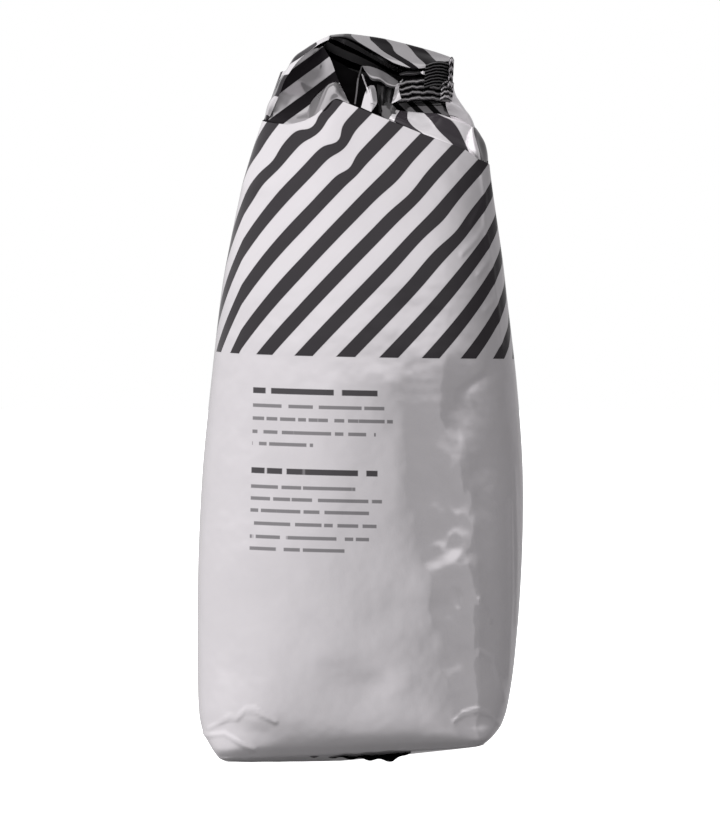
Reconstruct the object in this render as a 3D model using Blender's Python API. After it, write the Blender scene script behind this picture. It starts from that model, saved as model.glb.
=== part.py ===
"""Coffee bag: a filled film pack with side gussets, standing on its base.

The upper end of the film is gathered, rolled over to the front and ends in a crimped seal.
The pack is one closed solid. Its front faces -Y and its base lies on z = 0, in metres.
"""

import bisect
import math

import bmesh
import bpy
from mathutils import Vector

# ---------------------------------------------------------------- driving sizes, in metres
POINTS_ROUND = 64            # points in one ring of the trunk
RING_STEP = 0.0062           # height between two rings of the trunk
FOOT_HEIGHTS = (0.0018, 0.0036, 0.0068, 0.0104)
GUSSET_SPREAD = 0.22         # half-width of a gusset crease, in radians of the ring

# Trunk stations: height, middle x, half-width, middle y, half-depth, squareness,
# rise of the ring towards +X, and depth of the gusset crease.
TRUNK = (
    (0.0000, -0.0030, 0.0370, 0.0000, 0.0262, 4.0, 0.000, 0.0000),
    (0.0036, -0.0025, 0.0402, 0.0000, 0.0304, 7.0, 0.040, 0.0000),
    (0.0104, -0.0023, 0.0448, 0.0000, 0.0336, 4.4, 0.020, 0.0008),
    (0.0300, -0.0011, 0.0473, 0.0000, 0.0348, 3.0, 0.008, 0.0010),
    (0.0580, 0.0000, 0.0483, 0.0000, 0.0356, 2.5, 0.000, 0.0010),
    (0.0850, 0.0008, 0.0479, 0.0000, 0.0360, 2.15, 0.000, 0.0008),
    (0.1120, 0.0012, 0.0456, 0.0000, 0.0360, 2.0, 0.000, 0.0008),
    (0.1390, 0.0013, 0.0424, 0.0004, 0.0338, 2.0, -0.010, 0.0010),
    (0.1500, 0.0019, 0.0407, 0.0006, 0.0320, 2.0, -0.050, 0.0012),
    (0.1660, 0.0031, 0.0377, 0.0010, 0.0274, 2.0, -0.150, 0.0016),
    (0.1800, 0.0052, 0.0342, 0.0000, 0.0216, 2.0, -0.300, 0.0020),
    (0.1887, 0.0072, 0.0312, -0.0020, 0.0160, 2.0, -0.444, 0.0020),
)

# Left fold: the rim on its outer side and the edge on its pocket side, as (x, y, z).
RIM = ((-0.0330, -0.0040, 0.1700), (-0.0298, -0.0100, 0.1856), (-0.0258, -0.0100, 0.1974),
       (-0.0200, -0.0070, 0.2060), (-0.0100, -0.0015, 0.2130))
WALL_EDGE = ((-0.0120, -0.0100, 0.1778), (-0.0030, -0.0155, 0.1930), (-0.0062, -0.0080, 0.2003),
             (-0.0090, -0.0040, 0.2061), (-0.0086, -0.0015, 0.2120))
WALL_RINGS = 15
WALL_HOLLOW = 0.0030         # how far the wall sinks between the rim and its edge
WING_DEPTH = 0.0090          # from the wall to the back at the wing's two ends
WING_SWELL = 0.0120          # how much deeper the wing is in the middle

# Crest: the back film that stands up and rolls over to the front.
CREST = ((-0.0120, 0.0040, 0.2120), (-0.0030, 0.0030, 0.2144), (0.0139, 0.0010, 0.2115),
         (0.0221, -0.0020, 0.2095), (0.0287, -0.0070, 0.2071))
FLAP_EDGE = ((-0.0120, -0.0005, 0.2114), (-0.0030, -0.0060, 0.2126), (0.0075, -0.0120, 0.2077),
             (0.0170, -0.0165, 0.2034), (0.0284, -0.0165, 0.2044))
CREST_RINGS = 19
FLAP_ARCH = 0.0022           # how far the rolled flap stands over the straight line to its edge
FLAP_THICKNESS = 0.0024
FLAP_HANG = 0.0065           # how far the roll reaches down inside
CREST_FOOT = 0.1798          # height of the crest's foot at its left end
CREST_BACK = 0.1740          # height of its outer foot there
CREST_WAIST = 0.1915         # height there at which the back leans in towards the crest
CREST_FALL = 0.0060          # how far the feet drop towards the right end

# Shoulder: the film from the ridge back and up to the neck under the seal.
RIDGE = ((0.0000, -0.0150, 0.1927), (0.0116, -0.0160, 0.1878), (0.0287, -0.0130, 0.1804),
         (0.0385, -0.0052, 0.1749))
NECK = ((0.0060, -0.0095, 0.1944), (0.0150, -0.0115, 0.1930), (0.0265, -0.0095, 0.1917),
        (0.0322, -0.0010, 0.1910))
SHOULDER_RINGS = 17
SHOULDER_DEPTH = 0.0120

# Roll of film at the upper end of the ridge.
MOUND = (-0.0075, -0.0090, 0.1939)
MOUND_RADII = (0.0105, 0.0078, 0.0062)

# Seal: a ribbed band bent round the right end, and the gathered film that carries it.
SEAL_PATH = ((0.0122, -0.0170, 0.1954), (0.0190, -0.0178, 0.1952), (0.0262, -0.0140, 0.1950),
             (0.0276, -0.0040, 0.1950), (0.0262, 0.0060, 0.1952))
SEAL_STEPS = 28
SEAL_HEIGHT = 0.0098
SEAL_THICKNESS = 0.0026
SEAL_RIBS = 4
RIB_DEPTH = 0.0007
SEAL_WAVE = 0.0005
SEAL_WAVES = 24.0            # radians of the band's wave along its whole length
ROOT_MIDDLE = (0.0125, 0.0035)
ROOT_LOW = 0.1887
ROOT_HIGH = 0.2039
ROOT_LEVELS = 5
ROOT_INSET = 0.13            # part of the way from the seal to the middle

# Leaf of the gusset's inner fold, standing in the pocket.
LEAF_START = (0.0012, -0.0035, 0.2044)
LEAF_END = (0.0127, -0.0110, 0.1997)
LEAF_RINGS = 7
LEAF_FOOT = 0.1817
LEAF_DEPTH = 0.0090

# Hem folded under the base, and the seam lapped down the middle of the back.
HEM_LEFT = -0.0205
HEM_RIGHT = 0.0125
HEM_FRONT = -0.0300
HEM_WAVE = 0.0012
HEM_THICKNESS = 0.0016
HEM_DEPTH = 0.0060
HEM_RINGS = 13
SEAM_WIDTH = 0.0110
SEAM_THICKNESS = 0.0006
SEAM_BITE = 0.0012           # how far the seam's inner side lies inside the back
SEAM_LOW = 0.0104
SEAM_HIGH = 0.1660
SEAM_RINGS = 26

SHARP_DEG = 35


# ---------------------------------------------------------------- curves and lofts
def hermite(first, last, slope_in, slope_out, share):
    """Return the cubic between two values with the given end slopes."""
    square = share * share
    cube = square * share
    return (first * (2 * cube - 3 * square + 1) + slope_in * (cube - 2 * square + share)
            + last * (3 * square - 2 * cube) + slope_out * (cube - square))


def smooth_row(keys, rows, key):
    """Return the smooth interpolation at key of rows of numbers given at rising keys."""
    index = min(max(bisect.bisect_right(keys, key) - 1, 0), len(keys) - 2)
    span = keys[index + 1] - keys[index]
    share = min(max((key - keys[index]) / span, 0.0), 1.0)

    def slope(at, column):
        low = max(at - 1, 0)
        high = min(at + 1, len(keys) - 1)
        return (rows[high][column] - rows[low][column]) / (keys[high] - keys[low]) * span

    return [hermite(rows[index][c], rows[index + 1][c], slope(index, c), slope(index + 1, c), share)
            for c in range(len(rows[0]))]


def along(points, share):
    """Return the point at a share from 0 to 1 along a smooth curve through points."""
    keys = [i / (len(points) - 1) for i in range(len(points))]
    return Vector(smooth_row(keys, points, share))


def shares(count):
    """Return count numbers evenly spaced from 0 to 1."""
    return [i / (count - 1) for i in range(count)]


def loft(name, rings):
    """Make a closed mesh object through equal rings of points, with its two ends capped."""
    shape = bmesh.new()
    rows = [[shape.verts.new(point) for point in ring] for ring in rings]
    count = len(rings[0])
    for lower, upper in zip(rows, rows[1:]):
        for i in range(count):
            j = (i + 1) % count
            shape.faces.new((lower[i], lower[j], upper[j], upper[i]))
    shape.faces.new(rows[0][::-1])
    shape.faces.new(rows[-1])
    if shape.calc_volume(signed=True) < 0:
        bmesh.ops.reverse_faces(shape, faces=shape.faces)
    return as_object(name, shape)


def as_object(name, shape):
    """Turn a bmesh into a new object and free it."""
    mesh = bpy.data.meshes.new(name)
    shape.to_mesh(mesh)
    shape.free()
    return bpy.data.objects.new(name, mesh)


# ---------------------------------------------------------------- the trunk
def station(height):
    """Return the trunk's sizes at one height, in the order of the table's columns."""
    keys = [row[0] for row in TRUNK]
    return smooth_row(keys, [row[1:] for row in TRUNK], height)


def trunk_ring(height):
    """Return the ring of the trunk at one height, with its gusset creases."""
    mid_x, half_width, mid_y, half_depth, squareness, rise, crease = station(height)
    ring = []
    for i in range(POINTS_ROUND):
        angle = 2 * math.pi * i / POINTS_ROUND
        side = math.copysign(abs(math.cos(angle)) ** (2 / squareness), math.cos(angle))
        face = math.copysign(abs(math.sin(angle)) ** (2 / squareness), math.sin(angle))
        off_side = min(abs(angle), abs(angle - math.pi), abs(angle - 2 * math.pi))
        pinch = 2 * crease * math.exp(-(off_side / GUSSET_SPREAD) ** 2)
        ring.append((half_width * side - math.copysign(pinch, side), half_depth * face, rise * side))
    stretch = half_width / max(x for x, _, _ in ring)
    return [(mid_x + x * stretch, mid_y + y, height + climb * half_width) for x, y, climb in ring]


def make_trunk():
    """Return the filled body, from its flat base to just under the ridge."""
    top = TRUNK[-1][0]
    base = [(x, y, 0.0) for x, y, _ in trunk_ring(0.0)]
    foot = FOOT_HEIGHTS[-1]
    steps = round((top - foot) / RING_STEP)
    heights = list(FOOT_HEIGHTS) + [foot + (top - foot) * i / steps for i in range(1, steps + 1)]
    return loft("trunk", [base] + [trunk_ring(height) for height in heights])


# ---------------------------------------------------------------- the folded upper end
def make_left_wing():
    """Return the upstanding fold on the left, with its hollow wall facing the pocket."""
    rings = []
    for share in shares(WALL_RINGS):
        rim = along(RIM, share)
        edge = along(WALL_EDGE, share)
        depth = WING_DEPTH + WING_SWELL * math.sin(math.pi * share ** 0.7)
        hollow = rim.lerp(edge, 0.55) + Vector((0.0, WALL_HOLLOW, 0.0))
        back_edge = edge + Vector((0.0, depth * 0.6, 0.0))
        back_middle = rim.lerp(edge, 0.5) + Vector((0.0, depth + 0.0020, 0.0))
        back_rim = rim.lerp(edge, 0.15) + Vector((0.0, depth, 0.0))
        rings.append([rim, hollow, edge, back_edge, back_middle, back_rim])
    return loft("left_wing", rings)


def make_crest():
    """Return the back film that stands up and rolls over the top, with its underside."""
    rings = []
    for share in shares(CREST_RINGS):
        top = along(CREST, share)
        edge = along(FLAP_EDGE, share)
        fall = CREST_FALL * share
        flare = top.x * 1.1
        back_y = 0.0160 - 0.0030 * share
        roll = top.lerp(edge, 0.5) + Vector((0.0, -0.0010, FLAP_ARCH))
        under = edge + Vector((0.0, 0.0045, -FLAP_THICKNESS))
        inside = Vector((top.x, top.y + 0.0005, edge.z - FLAP_HANG))
        foot_in = Vector((top.x, top.y + 0.0040, CREST_FOOT - fall))
        foot_out = Vector((flare, back_y + 0.0010, CREST_BACK - fall))
        back_low = Vector((flare, back_y, CREST_WAIST - fall * 1.3))
        back = Vector((top.x, top.y + 0.0095 - 0.0020 * share, top.z - 0.0095))
        nape = Vector((top.x, top.y + 0.0042, top.z - 0.0026))
        rings.append([top, roll, edge, under, inside, foot_in, foot_out, back_low, back, nape])
    return loft("crest", rings)


def make_shoulder():
    """Return the film behind the ridge, which climbs from it to the neck under the seal."""
    rings = []
    for share in shares(SHOULDER_RINGS):
        ridge = along(RIDGE, share)
        neck = along(NECK, share)
        narrow = SHOULDER_DEPTH * (1 - share ** 3)
        swell = ridge.lerp(neck, 0.55) + Vector((0.0, -0.0020, 0.0016))
        low = ridge + Vector((0.0, 0.0036 + narrow * 0.2, -0.0115))
        back = neck + Vector((0.0, 0.0060 + narrow, -0.0040))
        back_low = Vector((ridge.x - 0.0010, neck.y + 0.0090 + narrow, ridge.z - 0.0080))
        top = neck + Vector((0.0, 0.0030, 0.0032))
        rings.append([ridge, swell, neck, top, back, back_low, low])
    return loft("shoulder", rings)


def make_mound():
    """Return the rounded roll of film at the upper end of the ridge."""
    shape = bmesh.new()
    bmesh.ops.create_uvsphere(shape, u_segments=20, v_segments=12, radius=1.0)
    bmesh.ops.scale(shape, vec=MOUND_RADII, verts=shape.verts)
    bmesh.ops.translate(shape, vec=MOUND, verts=shape.verts)
    return as_object("mound", shape)


def make_seal():
    """Return the crimped band: a ribbed strip bent round the right end of the roll."""
    rings = []
    rows = SEAL_RIBS * 2
    half = SEAL_THICKNESS / 2
    for share in shares(SEAL_STEPS + 1):
        middle = along(SEAL_PATH, share)
        ahead = along(SEAL_PATH, min(share + 0.02, 1.0)) - along(SEAL_PATH, max(share - 0.02, 0.0))
        out = Vector((ahead.y, -ahead.x, 0.0)).normalized()
        wave = SEAL_WAVE * math.sin(share * SEAL_WAVES)
        front = []
        for k in range(rows + 1):
            bump = RIB_DEPTH if k % 2 else 0.0
            lift = SEAL_HEIGHT * (0.5 - k / rows) + wave
            front.append(middle + out * (half + bump) + Vector((0, 0, lift)))
        back = [middle - out * half + Vector((0, 0, SEAL_HEIGHT * sign + wave)) for sign in (-0.5, 0.5)]
        rings.append(front + back)
    return loft("seal", rings)


def make_seal_root():
    """Return the gathered film that carries the seal and joins it to the neck and the roll."""
    rings = []
    for level in shares(ROOT_LEVELS):
        height = ROOT_LOW + (ROOT_HIGH - ROOT_LOW) * level
        middle = Vector((ROOT_MIDDLE[0], ROOT_MIDDLE[1], height))
        front = []
        for share in shares(9):
            point = along(SEAL_PATH, share)
            point.z = height
            front.append(point.lerp(middle, ROOT_INSET))
        rings.append(front + [middle])
    return loft("seal_root", rings)


def make_gusset_leaf():
    """Return the gusset's inner fold, a thin leaf that stands inside the pocket."""
    rings = []
    for share in shares(LEAF_RINGS):
        x, y, top = Vector(LEAF_START).lerp(Vector(LEAF_END), share)
        behind = (x + 0.0006, y + LEAF_DEPTH)
        rings.append([(x, y, LEAF_FOOT), (x, y, top), (*behind, top - 0.0010), (*behind, LEAF_FOOT)])
    return loft("gusset_leaf", rings)


# ---------------------------------------------------------------- hem and back seam
def make_hem():
    """Return the ribbed hem folded under the base, showing below the front edge."""
    rings = []
    for share in shares(HEM_RINGS):
        x = HEM_LEFT + (HEM_RIGHT - HEM_LEFT) * share
        front = HEM_FRONT - HEM_WAVE * math.sin(share * math.pi * 3)
        low = 0.0004
        behind = front + HEM_DEPTH
        rings.append([(x, front, low), (x, front - low, low + HEM_THICKNESS),
                      (x, behind, 0.0040 + HEM_THICKNESS), (x, behind, 0.0)])
    return loft("hem", rings)


def make_back_seam():
    """Return the flat lap of the back seam, which follows the back of the trunk."""
    rings = []
    for share in shares(SEAM_RINGS):
        height = SEAM_LOW + (SEAM_HIGH - SEAM_LOW) * share
        mid_x, _, mid_y, half_depth, *_ = station(height)
        out = mid_y + half_depth + SEAM_THICKNESS
        inner = mid_y + half_depth - SEAM_BITE
        left = mid_x - SEAM_WIDTH / 2
        right = mid_x + SEAM_WIDTH / 2
        rings.append([(left, inner, height), (right, inner, height), (right, out, height),
                      (left, out, height)])
    return loft("back_seam", rings)


# ---------------------------------------------------------------- joining and finish
def join(base, others):
    """Union the other closed shapes into base and drop them.

    The lofts' four-cornered faces are slightly twisted. The EXACT solver leaves gaps along such
    faces where the folds cross, so the unions use MANIFOLD.
    """
    for other in others:
        union = base.modifiers.new("union", "BOOLEAN")
        union.operation = "UNION"
        union.solver = "MANIFOLD"
        union.object = other
    bpy.context.view_layer.update()
    evaluated = base.evaluated_get(bpy.context.evaluated_depsgraph_get())
    mesh = bpy.data.meshes.new_from_object(evaluated)
    base.modifiers.clear()
    base.data = mesh
    for other in others:
        bpy.data.objects.remove(other)


def centre_on_origin(piece):
    """Move the mesh so that the middle of its box's lower face is the origin."""
    vertices = piece.data.vertices
    for axis in (0, 1):
        values = [vertex.co[axis] for vertex in vertices]
        middle = (min(values) + max(values)) / 2
        for vertex in vertices:
            vertex.co[axis] -= middle


def film_material():
    """Return the light satin film of the pack."""
    material = bpy.data.materials.new("film")
    material.use_nodes = True
    shader = material.node_tree.nodes["Principled BSDF"]
    shader.inputs["Base Color"].default_value = (0.56, 0.54, 0.56, 1.0)
    shader.inputs["Roughness"].default_value = 0.32
    shader.inputs["Metallic"].default_value = 0.2
    return material


def clear_scene():
    """Remove every object from the scene."""
    for item in list(bpy.data.objects):
        bpy.data.objects.remove(item)


def main():
    """Build the bag."""
    clear_scene()
    collection = bpy.data.collections.new("coffee_bag")
    bpy.context.scene.collection.children.link(collection)
    bag = make_trunk()
    folds = [make_left_wing(), make_crest(), make_shoulder(), make_mound(), make_seal_root(),
             make_seal(), make_gusset_leaf(), make_hem(), make_back_seam()]
    for piece in [bag] + folds:
        collection.objects.link(piece)
    join(bag, folds)
    centre_on_origin(bag)
    bag.name = "bag"
    bag.data.name = "bag"
    bag.data.materials.clear()
    bag.data.materials.append(film_material())
    bag.data.shade_smooth()
    bag.data.set_sharp_from_angle(angle=math.radians(SHARP_DEG))


main()
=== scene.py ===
"""Looks of the coffee bag: satin film with dark diagonal stripes, folded top and crimped seal."""

import logging
import math
from dataclasses import dataclass
from enum import Enum
from typing import Sequence

import bpy
import numpy as np
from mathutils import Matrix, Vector, noise


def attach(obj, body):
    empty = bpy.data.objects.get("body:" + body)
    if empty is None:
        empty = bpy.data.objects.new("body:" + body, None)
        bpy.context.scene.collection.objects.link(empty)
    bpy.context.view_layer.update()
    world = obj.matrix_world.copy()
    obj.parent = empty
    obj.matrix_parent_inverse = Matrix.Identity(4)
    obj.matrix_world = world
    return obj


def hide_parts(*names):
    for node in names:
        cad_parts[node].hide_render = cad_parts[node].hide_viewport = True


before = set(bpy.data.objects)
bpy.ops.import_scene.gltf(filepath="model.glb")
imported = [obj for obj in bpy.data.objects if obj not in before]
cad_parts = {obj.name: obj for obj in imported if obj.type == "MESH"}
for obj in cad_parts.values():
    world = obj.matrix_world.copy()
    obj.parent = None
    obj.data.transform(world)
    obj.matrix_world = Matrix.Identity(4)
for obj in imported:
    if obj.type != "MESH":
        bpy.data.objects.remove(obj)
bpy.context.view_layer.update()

LOG = logging.getLogger("coffee_bag")
Point = tuple[float, float, float]
Colour = tuple[float, float, float, float]
Row = Sequence[float]
Knots = Sequence[Sequence[Row]]

NODE = "bag"
BODY = "root"
MM = 0.001

# The printed film laid flat: stripe pitch across the width, slope, and where the stripes stop.
STRIPE_PITCH = 0.0129
STRIPE_RISE = 0.97
STRIPE_ANCHOR = 0.1248
STRIPE_SHARE = 0.45
STRIPE_FLOOR = 0.1198
PRINT_TILT = -0.019
TOP_LEVEL = 0.2000


# ---------------------------------------------------------------- curves
def blend_rows(keys: Row, rows: Sequence[Row], wanted: np.ndarray) -> np.ndarray:
    """Interpolate rows of numbers smoothly, through every row.

    Args:
        keys: rising key of each row.
        rows: the numbers known at each key.
        wanted: keys where the numbers are wanted.

    Returns:
        One row of numbers for each wanted key.
    """
    table = np.asarray(rows, dtype=float)
    keys = np.asarray(keys, dtype=float)
    shape = (-1,) + (1,) * (table.ndim - 1)
    slopes = np.empty_like(table)
    slopes[1:-1] = (table[2:] - table[:-2]) / (keys[2:] - keys[:-2]).reshape(shape)
    slopes[0] = (table[1] - table[0]) / (keys[1] - keys[0])
    slopes[-1] = (table[-1] - table[-2]) / (keys[-1] - keys[-2])
    index = np.clip(np.searchsorted(keys, wanted, side="right") - 1, 0, len(keys) - 2)
    span = (keys[index + 1] - keys[index]).reshape(shape)
    share = np.clip((wanted - keys[index]) / (keys[index + 1] - keys[index]), 0.0, 1.0).reshape(shape)
    cube = share ** 3
    square = share ** 2
    return (table[index] * (2 * cube - 3 * square + 1) + slopes[index] * span * (cube - 2 * square + share)
            + table[index + 1] * (3 * square - 2 * cube) + slopes[index + 1] * span * (cube - square))


def spread(table: np.ndarray) -> np.ndarray:
    """Return rising keys for rows of points, by the mean distance between the rows."""
    steps = np.linalg.norm(np.diff(table[..., :3], axis=0), axis=-1)
    mean = steps.mean(axis=tuple(range(1, steps.ndim))) if steps.ndim > 1 else steps
    return np.concatenate([[0.0], np.cumsum(np.maximum(mean, 1e-6))])


def refine(table: np.ndarray, step: float) -> np.ndarray:
    """Return more rows on the smooth surface through the given ones, a step apart."""
    keys = spread(table)
    count = max(int(keys[-1] / step), 2 * len(table))
    wanted = np.linspace(0.0, keys[-1], count + 1)
    return blend_rows(keys, table, wanted)


def print_place(count: np.ndarray) -> np.ndarray:
    """Return film coordinates well above the stripes' lower end, at a stripe count.

    Args:
        count: stripes counted across the film; a dark one starts at each whole number.

    Returns:
        The places across and up the flat film, in metres.
    """
    across = (count - 1) * STRIPE_PITCH - STRIPE_RISE * (STRIPE_ANCHOR - TOP_LEVEL)
    return np.stack([across, np.full_like(across, TOP_LEVEL)], axis=-1)


# ---------------------------------------------------------------- meshes
def grid_normals(points: np.ndarray) -> np.ndarray:
    """Return unit normals of a grid of points."""
    down = np.gradient(points, axis=0)
    over = np.gradient(points, axis=1)
    normals = np.cross(over, down)
    size = np.linalg.norm(normals, axis=-1, keepdims=True)
    return normals / np.maximum(size, 1e-12)


def crumple(points: np.ndarray, depth: float, size: float, seed: float) -> np.ndarray:
    """Give a sheet the small flat facets and soft ridges of creased film.

    Args:
        points: rows by columns by 3, in metres.
        depth: the height of the ridges, in metres.
        size: the width of a facet, in metres.
        seed: shifts the pattern.

    Returns:
        The moved points.
    """
    heights = np.empty(points.shape[:2])
    for i, row in enumerate(points):
        for j, point in enumerate(row):
            place = Vector(point) / size + Vector((seed, 0.0, 0.0))
            cells = noise.voronoi(place)[0]
            heights[i, j] = min(cells[1] - cells[0], 0.5) + 0.5 * noise.noise(place * 0.6)
    return points + grid_normals(points) * (heights * depth)[..., None]


def film_mesh(name: str, points: np.ndarray, places: np.ndarray, closed: bool = False) -> bpy.types.Object:
    """Make a smooth sheet from a grid of points.

    Args:
        name: the piece's name.
        points: rows by columns by 3, in metres.
        places: rows by columns by 2, the film coordinates of each point.
        closed: True where the last column meets the first.

    Returns:
        The new object, linked to the scene.
    """
    rows, columns = points.shape[:2]
    last = columns if closed else columns - 1
    faces = []
    corners = []
    for i in range(rows - 1):
        for j in range(last):
            k = (j + 1) % columns
            faces.append((i * columns + j, i * columns + k, (i + 1) * columns + k, (i + 1) * columns + j))
            corners.append(((i, j), (i, j + 1), (i + 1, j + 1), (i + 1, j)))
    mesh = bpy.data.meshes.new(name)
    mesh.from_pydata([tuple(point) for point in points.reshape(-1, 3)], [], faces)
    layer = mesh.uv_layers.new(name="film")
    wide = places if not closed else np.concatenate([places, closing_column(places)], axis=1)
    flat = [wide[i, j] for corner in corners for i, j in corner]
    layer.data.foreach_set("uv", np.asarray(flat, dtype=np.float32).ravel())
    mesh.shade_smooth()
    piece = bpy.data.objects.new(name, mesh)
    bpy.context.scene.collection.objects.link(piece)
    return piece


def closing_column(places: np.ndarray) -> np.ndarray:
    """Return one more column of film coordinates, past the last one of a closed sheet."""
    step = places[:, -1:, :] - places[:, -2:-1, :]
    return places[:, -1:, :] + step


def folded_sheet(name: str, knots: Knots, step: float = 0.5, creases: float = 0.0) -> bpy.types.Object:
    """Make one fold of the film as a smooth sheet through knots.

    Args:
        name: the piece's name.
        knots: rows of (x, y, z, stripe count), in millimetres.
        step: about how far apart the mesh's points are, in millimetres.
        creases: height of the fine crumpling, in millimetres.

    Returns:
        The new piece.
    """
    table = refine(np.asarray(knots, dtype=float), step)
    table = refine(table.transpose(1, 0, 2), step).transpose(1, 0, 2)
    points = table[..., :3] * MM
    if creases:
        points = crumple(points, creases * MM, 5.0 * MM, len(name))
    return film_mesh(name, points, print_place(table[..., 3]))


# ---------------------------------------------------------------- the trunk
@dataclass
class Trunk:
    """The filled body, from its base to the ridge under the folded top."""

    around: int = 400
    up: int = 232
    middle_x: float = -0.00235
    # Where the print starts to be drawn out towards the left and right sides, and how much.
    print_sides: tuple[float, float] = (-0.036, 0.055)
    print_draw: tuple[float, float] = (0.38, 0.50)
    # The print's place at the middle of the back, come to from the left and from the right.
    print_back: tuple[float, float] = (-10 * STRIPE_PITCH, 10 * STRIPE_PITCH)
    stations: tuple[Row, ...] = (
        # height, middle x, half-width, middle y, half-depth, squareness, rise to +X, crease
        (0.0000, -0.0060, 0.0300, 0.0000, 0.0240, 2.6, 0.085, 0.0000),
        (0.0029, -0.0026, 0.0392, 0.0000, 0.0302, 16.0, 0.050, 0.0000),
        (0.0032, -0.0026, 0.0395, 0.0000, 0.0304, 14.0, 0.050, 0.0000),
        (0.0060, -0.0024, 0.0420, 0.0000, 0.0323, 8.0, 0.036, 0.0003),
        (0.0095, -0.0023, 0.0444, 0.0000, 0.0335, 5.0, 0.024, 0.0006),
        (0.0150, -0.0020, 0.0459, 0.0000, 0.0342, 4.0, 0.016, 0.0008),
        (0.0300, -0.0011, 0.0473, 0.0000, 0.0348, 3.0, 0.008, 0.0010),
        (0.0580, 0.0000, 0.0483, 0.0000, 0.0356, 2.5, 0.000, 0.0010),
        (0.0850, 0.0008, 0.0479, 0.0000, 0.0360, 2.15, 0.000, 0.0008),
        (0.1120, 0.0012, 0.0456, 0.0000, 0.0360, 2.0, 0.000, 0.0008),
        (0.1390, 0.0013, 0.0424, 0.0004, 0.0338, 2.0, -0.010, 0.0010),
        (0.1500, 0.0019, 0.0407, 0.0006, 0.0320, 2.0, -0.050, 0.0012),
        (0.1660, 0.0031, 0.0377, 0.0010, 0.0274, 2.0, -0.150, 0.0016),
        (0.1800, 0.0052, 0.0342, 0.0000, 0.0216, 2.0, -0.300, 0.0020),
        (0.1909, 0.0073, 0.0312, -0.0020, 0.0159, 2.0, -0.444, 0.0020),
    )
    # Where the front's upper edge dips below the last station: x, and station height.
    top_edge: tuple[Row, ...] = (
        (-0.0300, 0.1803), (-0.0280, 0.1803), (-0.0244, 0.1798), (-0.0208, 0.1801), (-0.0172, 0.1806),
        (-0.0154, 0.1814), (-0.0133, 0.1825), (-0.0109, 0.1845), (-0.0074, 0.1897), (-0.0050, 0.1901),
        (0.0180, 0.1901), (0.0240, 0.1904), (0.0310, 0.1909), (0.0330, 0.1903), (0.0350, 0.1893), (0.0400, 0.1893),
    )
    # Stripes pushed sideways where the film bulges: x, height, radius, part of a stripe pitch.
    bends: tuple[Row, ...] = (
        (-0.0141, 0.1881, 0.0039, -0.37), (-0.0102, 0.1938, 0.0036, -0.25), (-0.0066, 0.1973, 0.0024, -0.20),
        (-0.0066, 0.1833, 0.0036, -0.28), (-0.0036, 0.1758, 0.0030, -0.14), (-0.0270, 0.1782, 0.0036, -0.12),
        (0.0131, 0.1691, 0.0060, -0.10), (0.0200, 0.1500, 0.0070, 0.05), (0.0270, 0.1580, 0.0050, -0.08),
    )
    # Soft swellings and dents of the front: x, height, radius across, radius up, outward.
    swells: tuple[Row, ...] = (
        (-0.0200, 0.1800, 0.0060, 0.0070, -0.0006), (-0.0090, 0.1850, 0.0050, 0.0080, 0.0008),
        (0.0290, 0.1060, 0.0050, 0.0100, -0.0006), (0.0260, 0.0700, 0.0070, 0.0140, -0.0005),
        (0.0330, 0.0420, 0.0050, 0.0120, 0.0005), (-0.0300, 0.0080, 0.0100, 0.0040, -0.0006),
        (0.0130, 0.1700, 0.0060, 0.0050, 0.0005), (0.0040, 0.1580, 0.0060, 0.0060, -0.0005),
        (-0.0290, 0.1700, 0.0050, 0.0030, 0.0005), (0.0090, 0.0440, 0.0060, 0.0050, -0.0004),
        (0.0020, 0.0220, 0.0080, 0.0050, -0.0005), (0.0130, 0.0240, 0.0050, 0.0040, 0.0004),
        (-0.0080, 0.0330, 0.0080, 0.0050, 0.0004), (0.0200, 0.0520, 0.0050, 0.0060, 0.0004),
        (-0.0220, 0.0500, 0.0090, 0.0060, -0.0003), (0.0120, 0.0900, 0.0050, 0.0120, 0.0003),
    )

    def table(self, heights: np.ndarray) -> np.ndarray:
        """Return the stations' numbers at an array of heights."""
        keys = [row[0] for row in self.stations]
        rows = [row[1:] for row in self.stations]
        flat = blend_rows(keys, rows, heights.ravel())
        return flat.reshape(heights.shape + (flat.shape[-1],))

    def shape(self, heights: np.ndarray, angle: np.ndarray) -> np.ndarray:
        """Return the body's surface.

        Args:
            heights: station height of each point, rows by columns.
            angle: angle round the body of each column, anticlockwise from +X.

        Returns:
            Points, rows by columns by 3.
        """
        numbers = self.table(heights)
        mid_x, wide, mid_y, deep, square, rise, crease = np.moveaxis(numbers, -1, 0)
        cosine = np.cos(angle)[None, :]
        sine = np.sin(angle)[None, :]
        side = np.sign(cosine) * np.abs(cosine) ** (2 / square)
        face = np.sign(sine) * np.abs(sine) ** (2 / square)
        off_side = np.minimum(np.minimum(angle, np.abs(angle - math.pi)), 2 * math.pi - angle)
        pinch = 2 * crease * np.exp(-(off_side[None, :] / 0.22) ** 2)
        ratio = side - np.sign(side) * pinch / wide
        x = wide * ratio / ratio.max(axis=1, keepdims=True)
        z = np.maximum(heights + rise * side * wide, 0.0)
        return np.stack([mid_x + x, mid_y + deep * face, z], axis=-1)

    def top_heights(self, angle: np.ndarray) -> np.ndarray:
        """Return the station height at which each column of the body ends."""
        top = self.stations[-1][0]
        ends = self.shape(np.full((1, len(angle)), top), angle)[0]
        edge = np.asarray(self.top_edge)
        dip = np.interp(ends[:, 0], edge[:, 0], edge[:, 1])
        front = np.clip((-0.001 - ends[:, 1]) / 0.004, 0.0, 1.0)
        return top + (dip - top) * front

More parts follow.
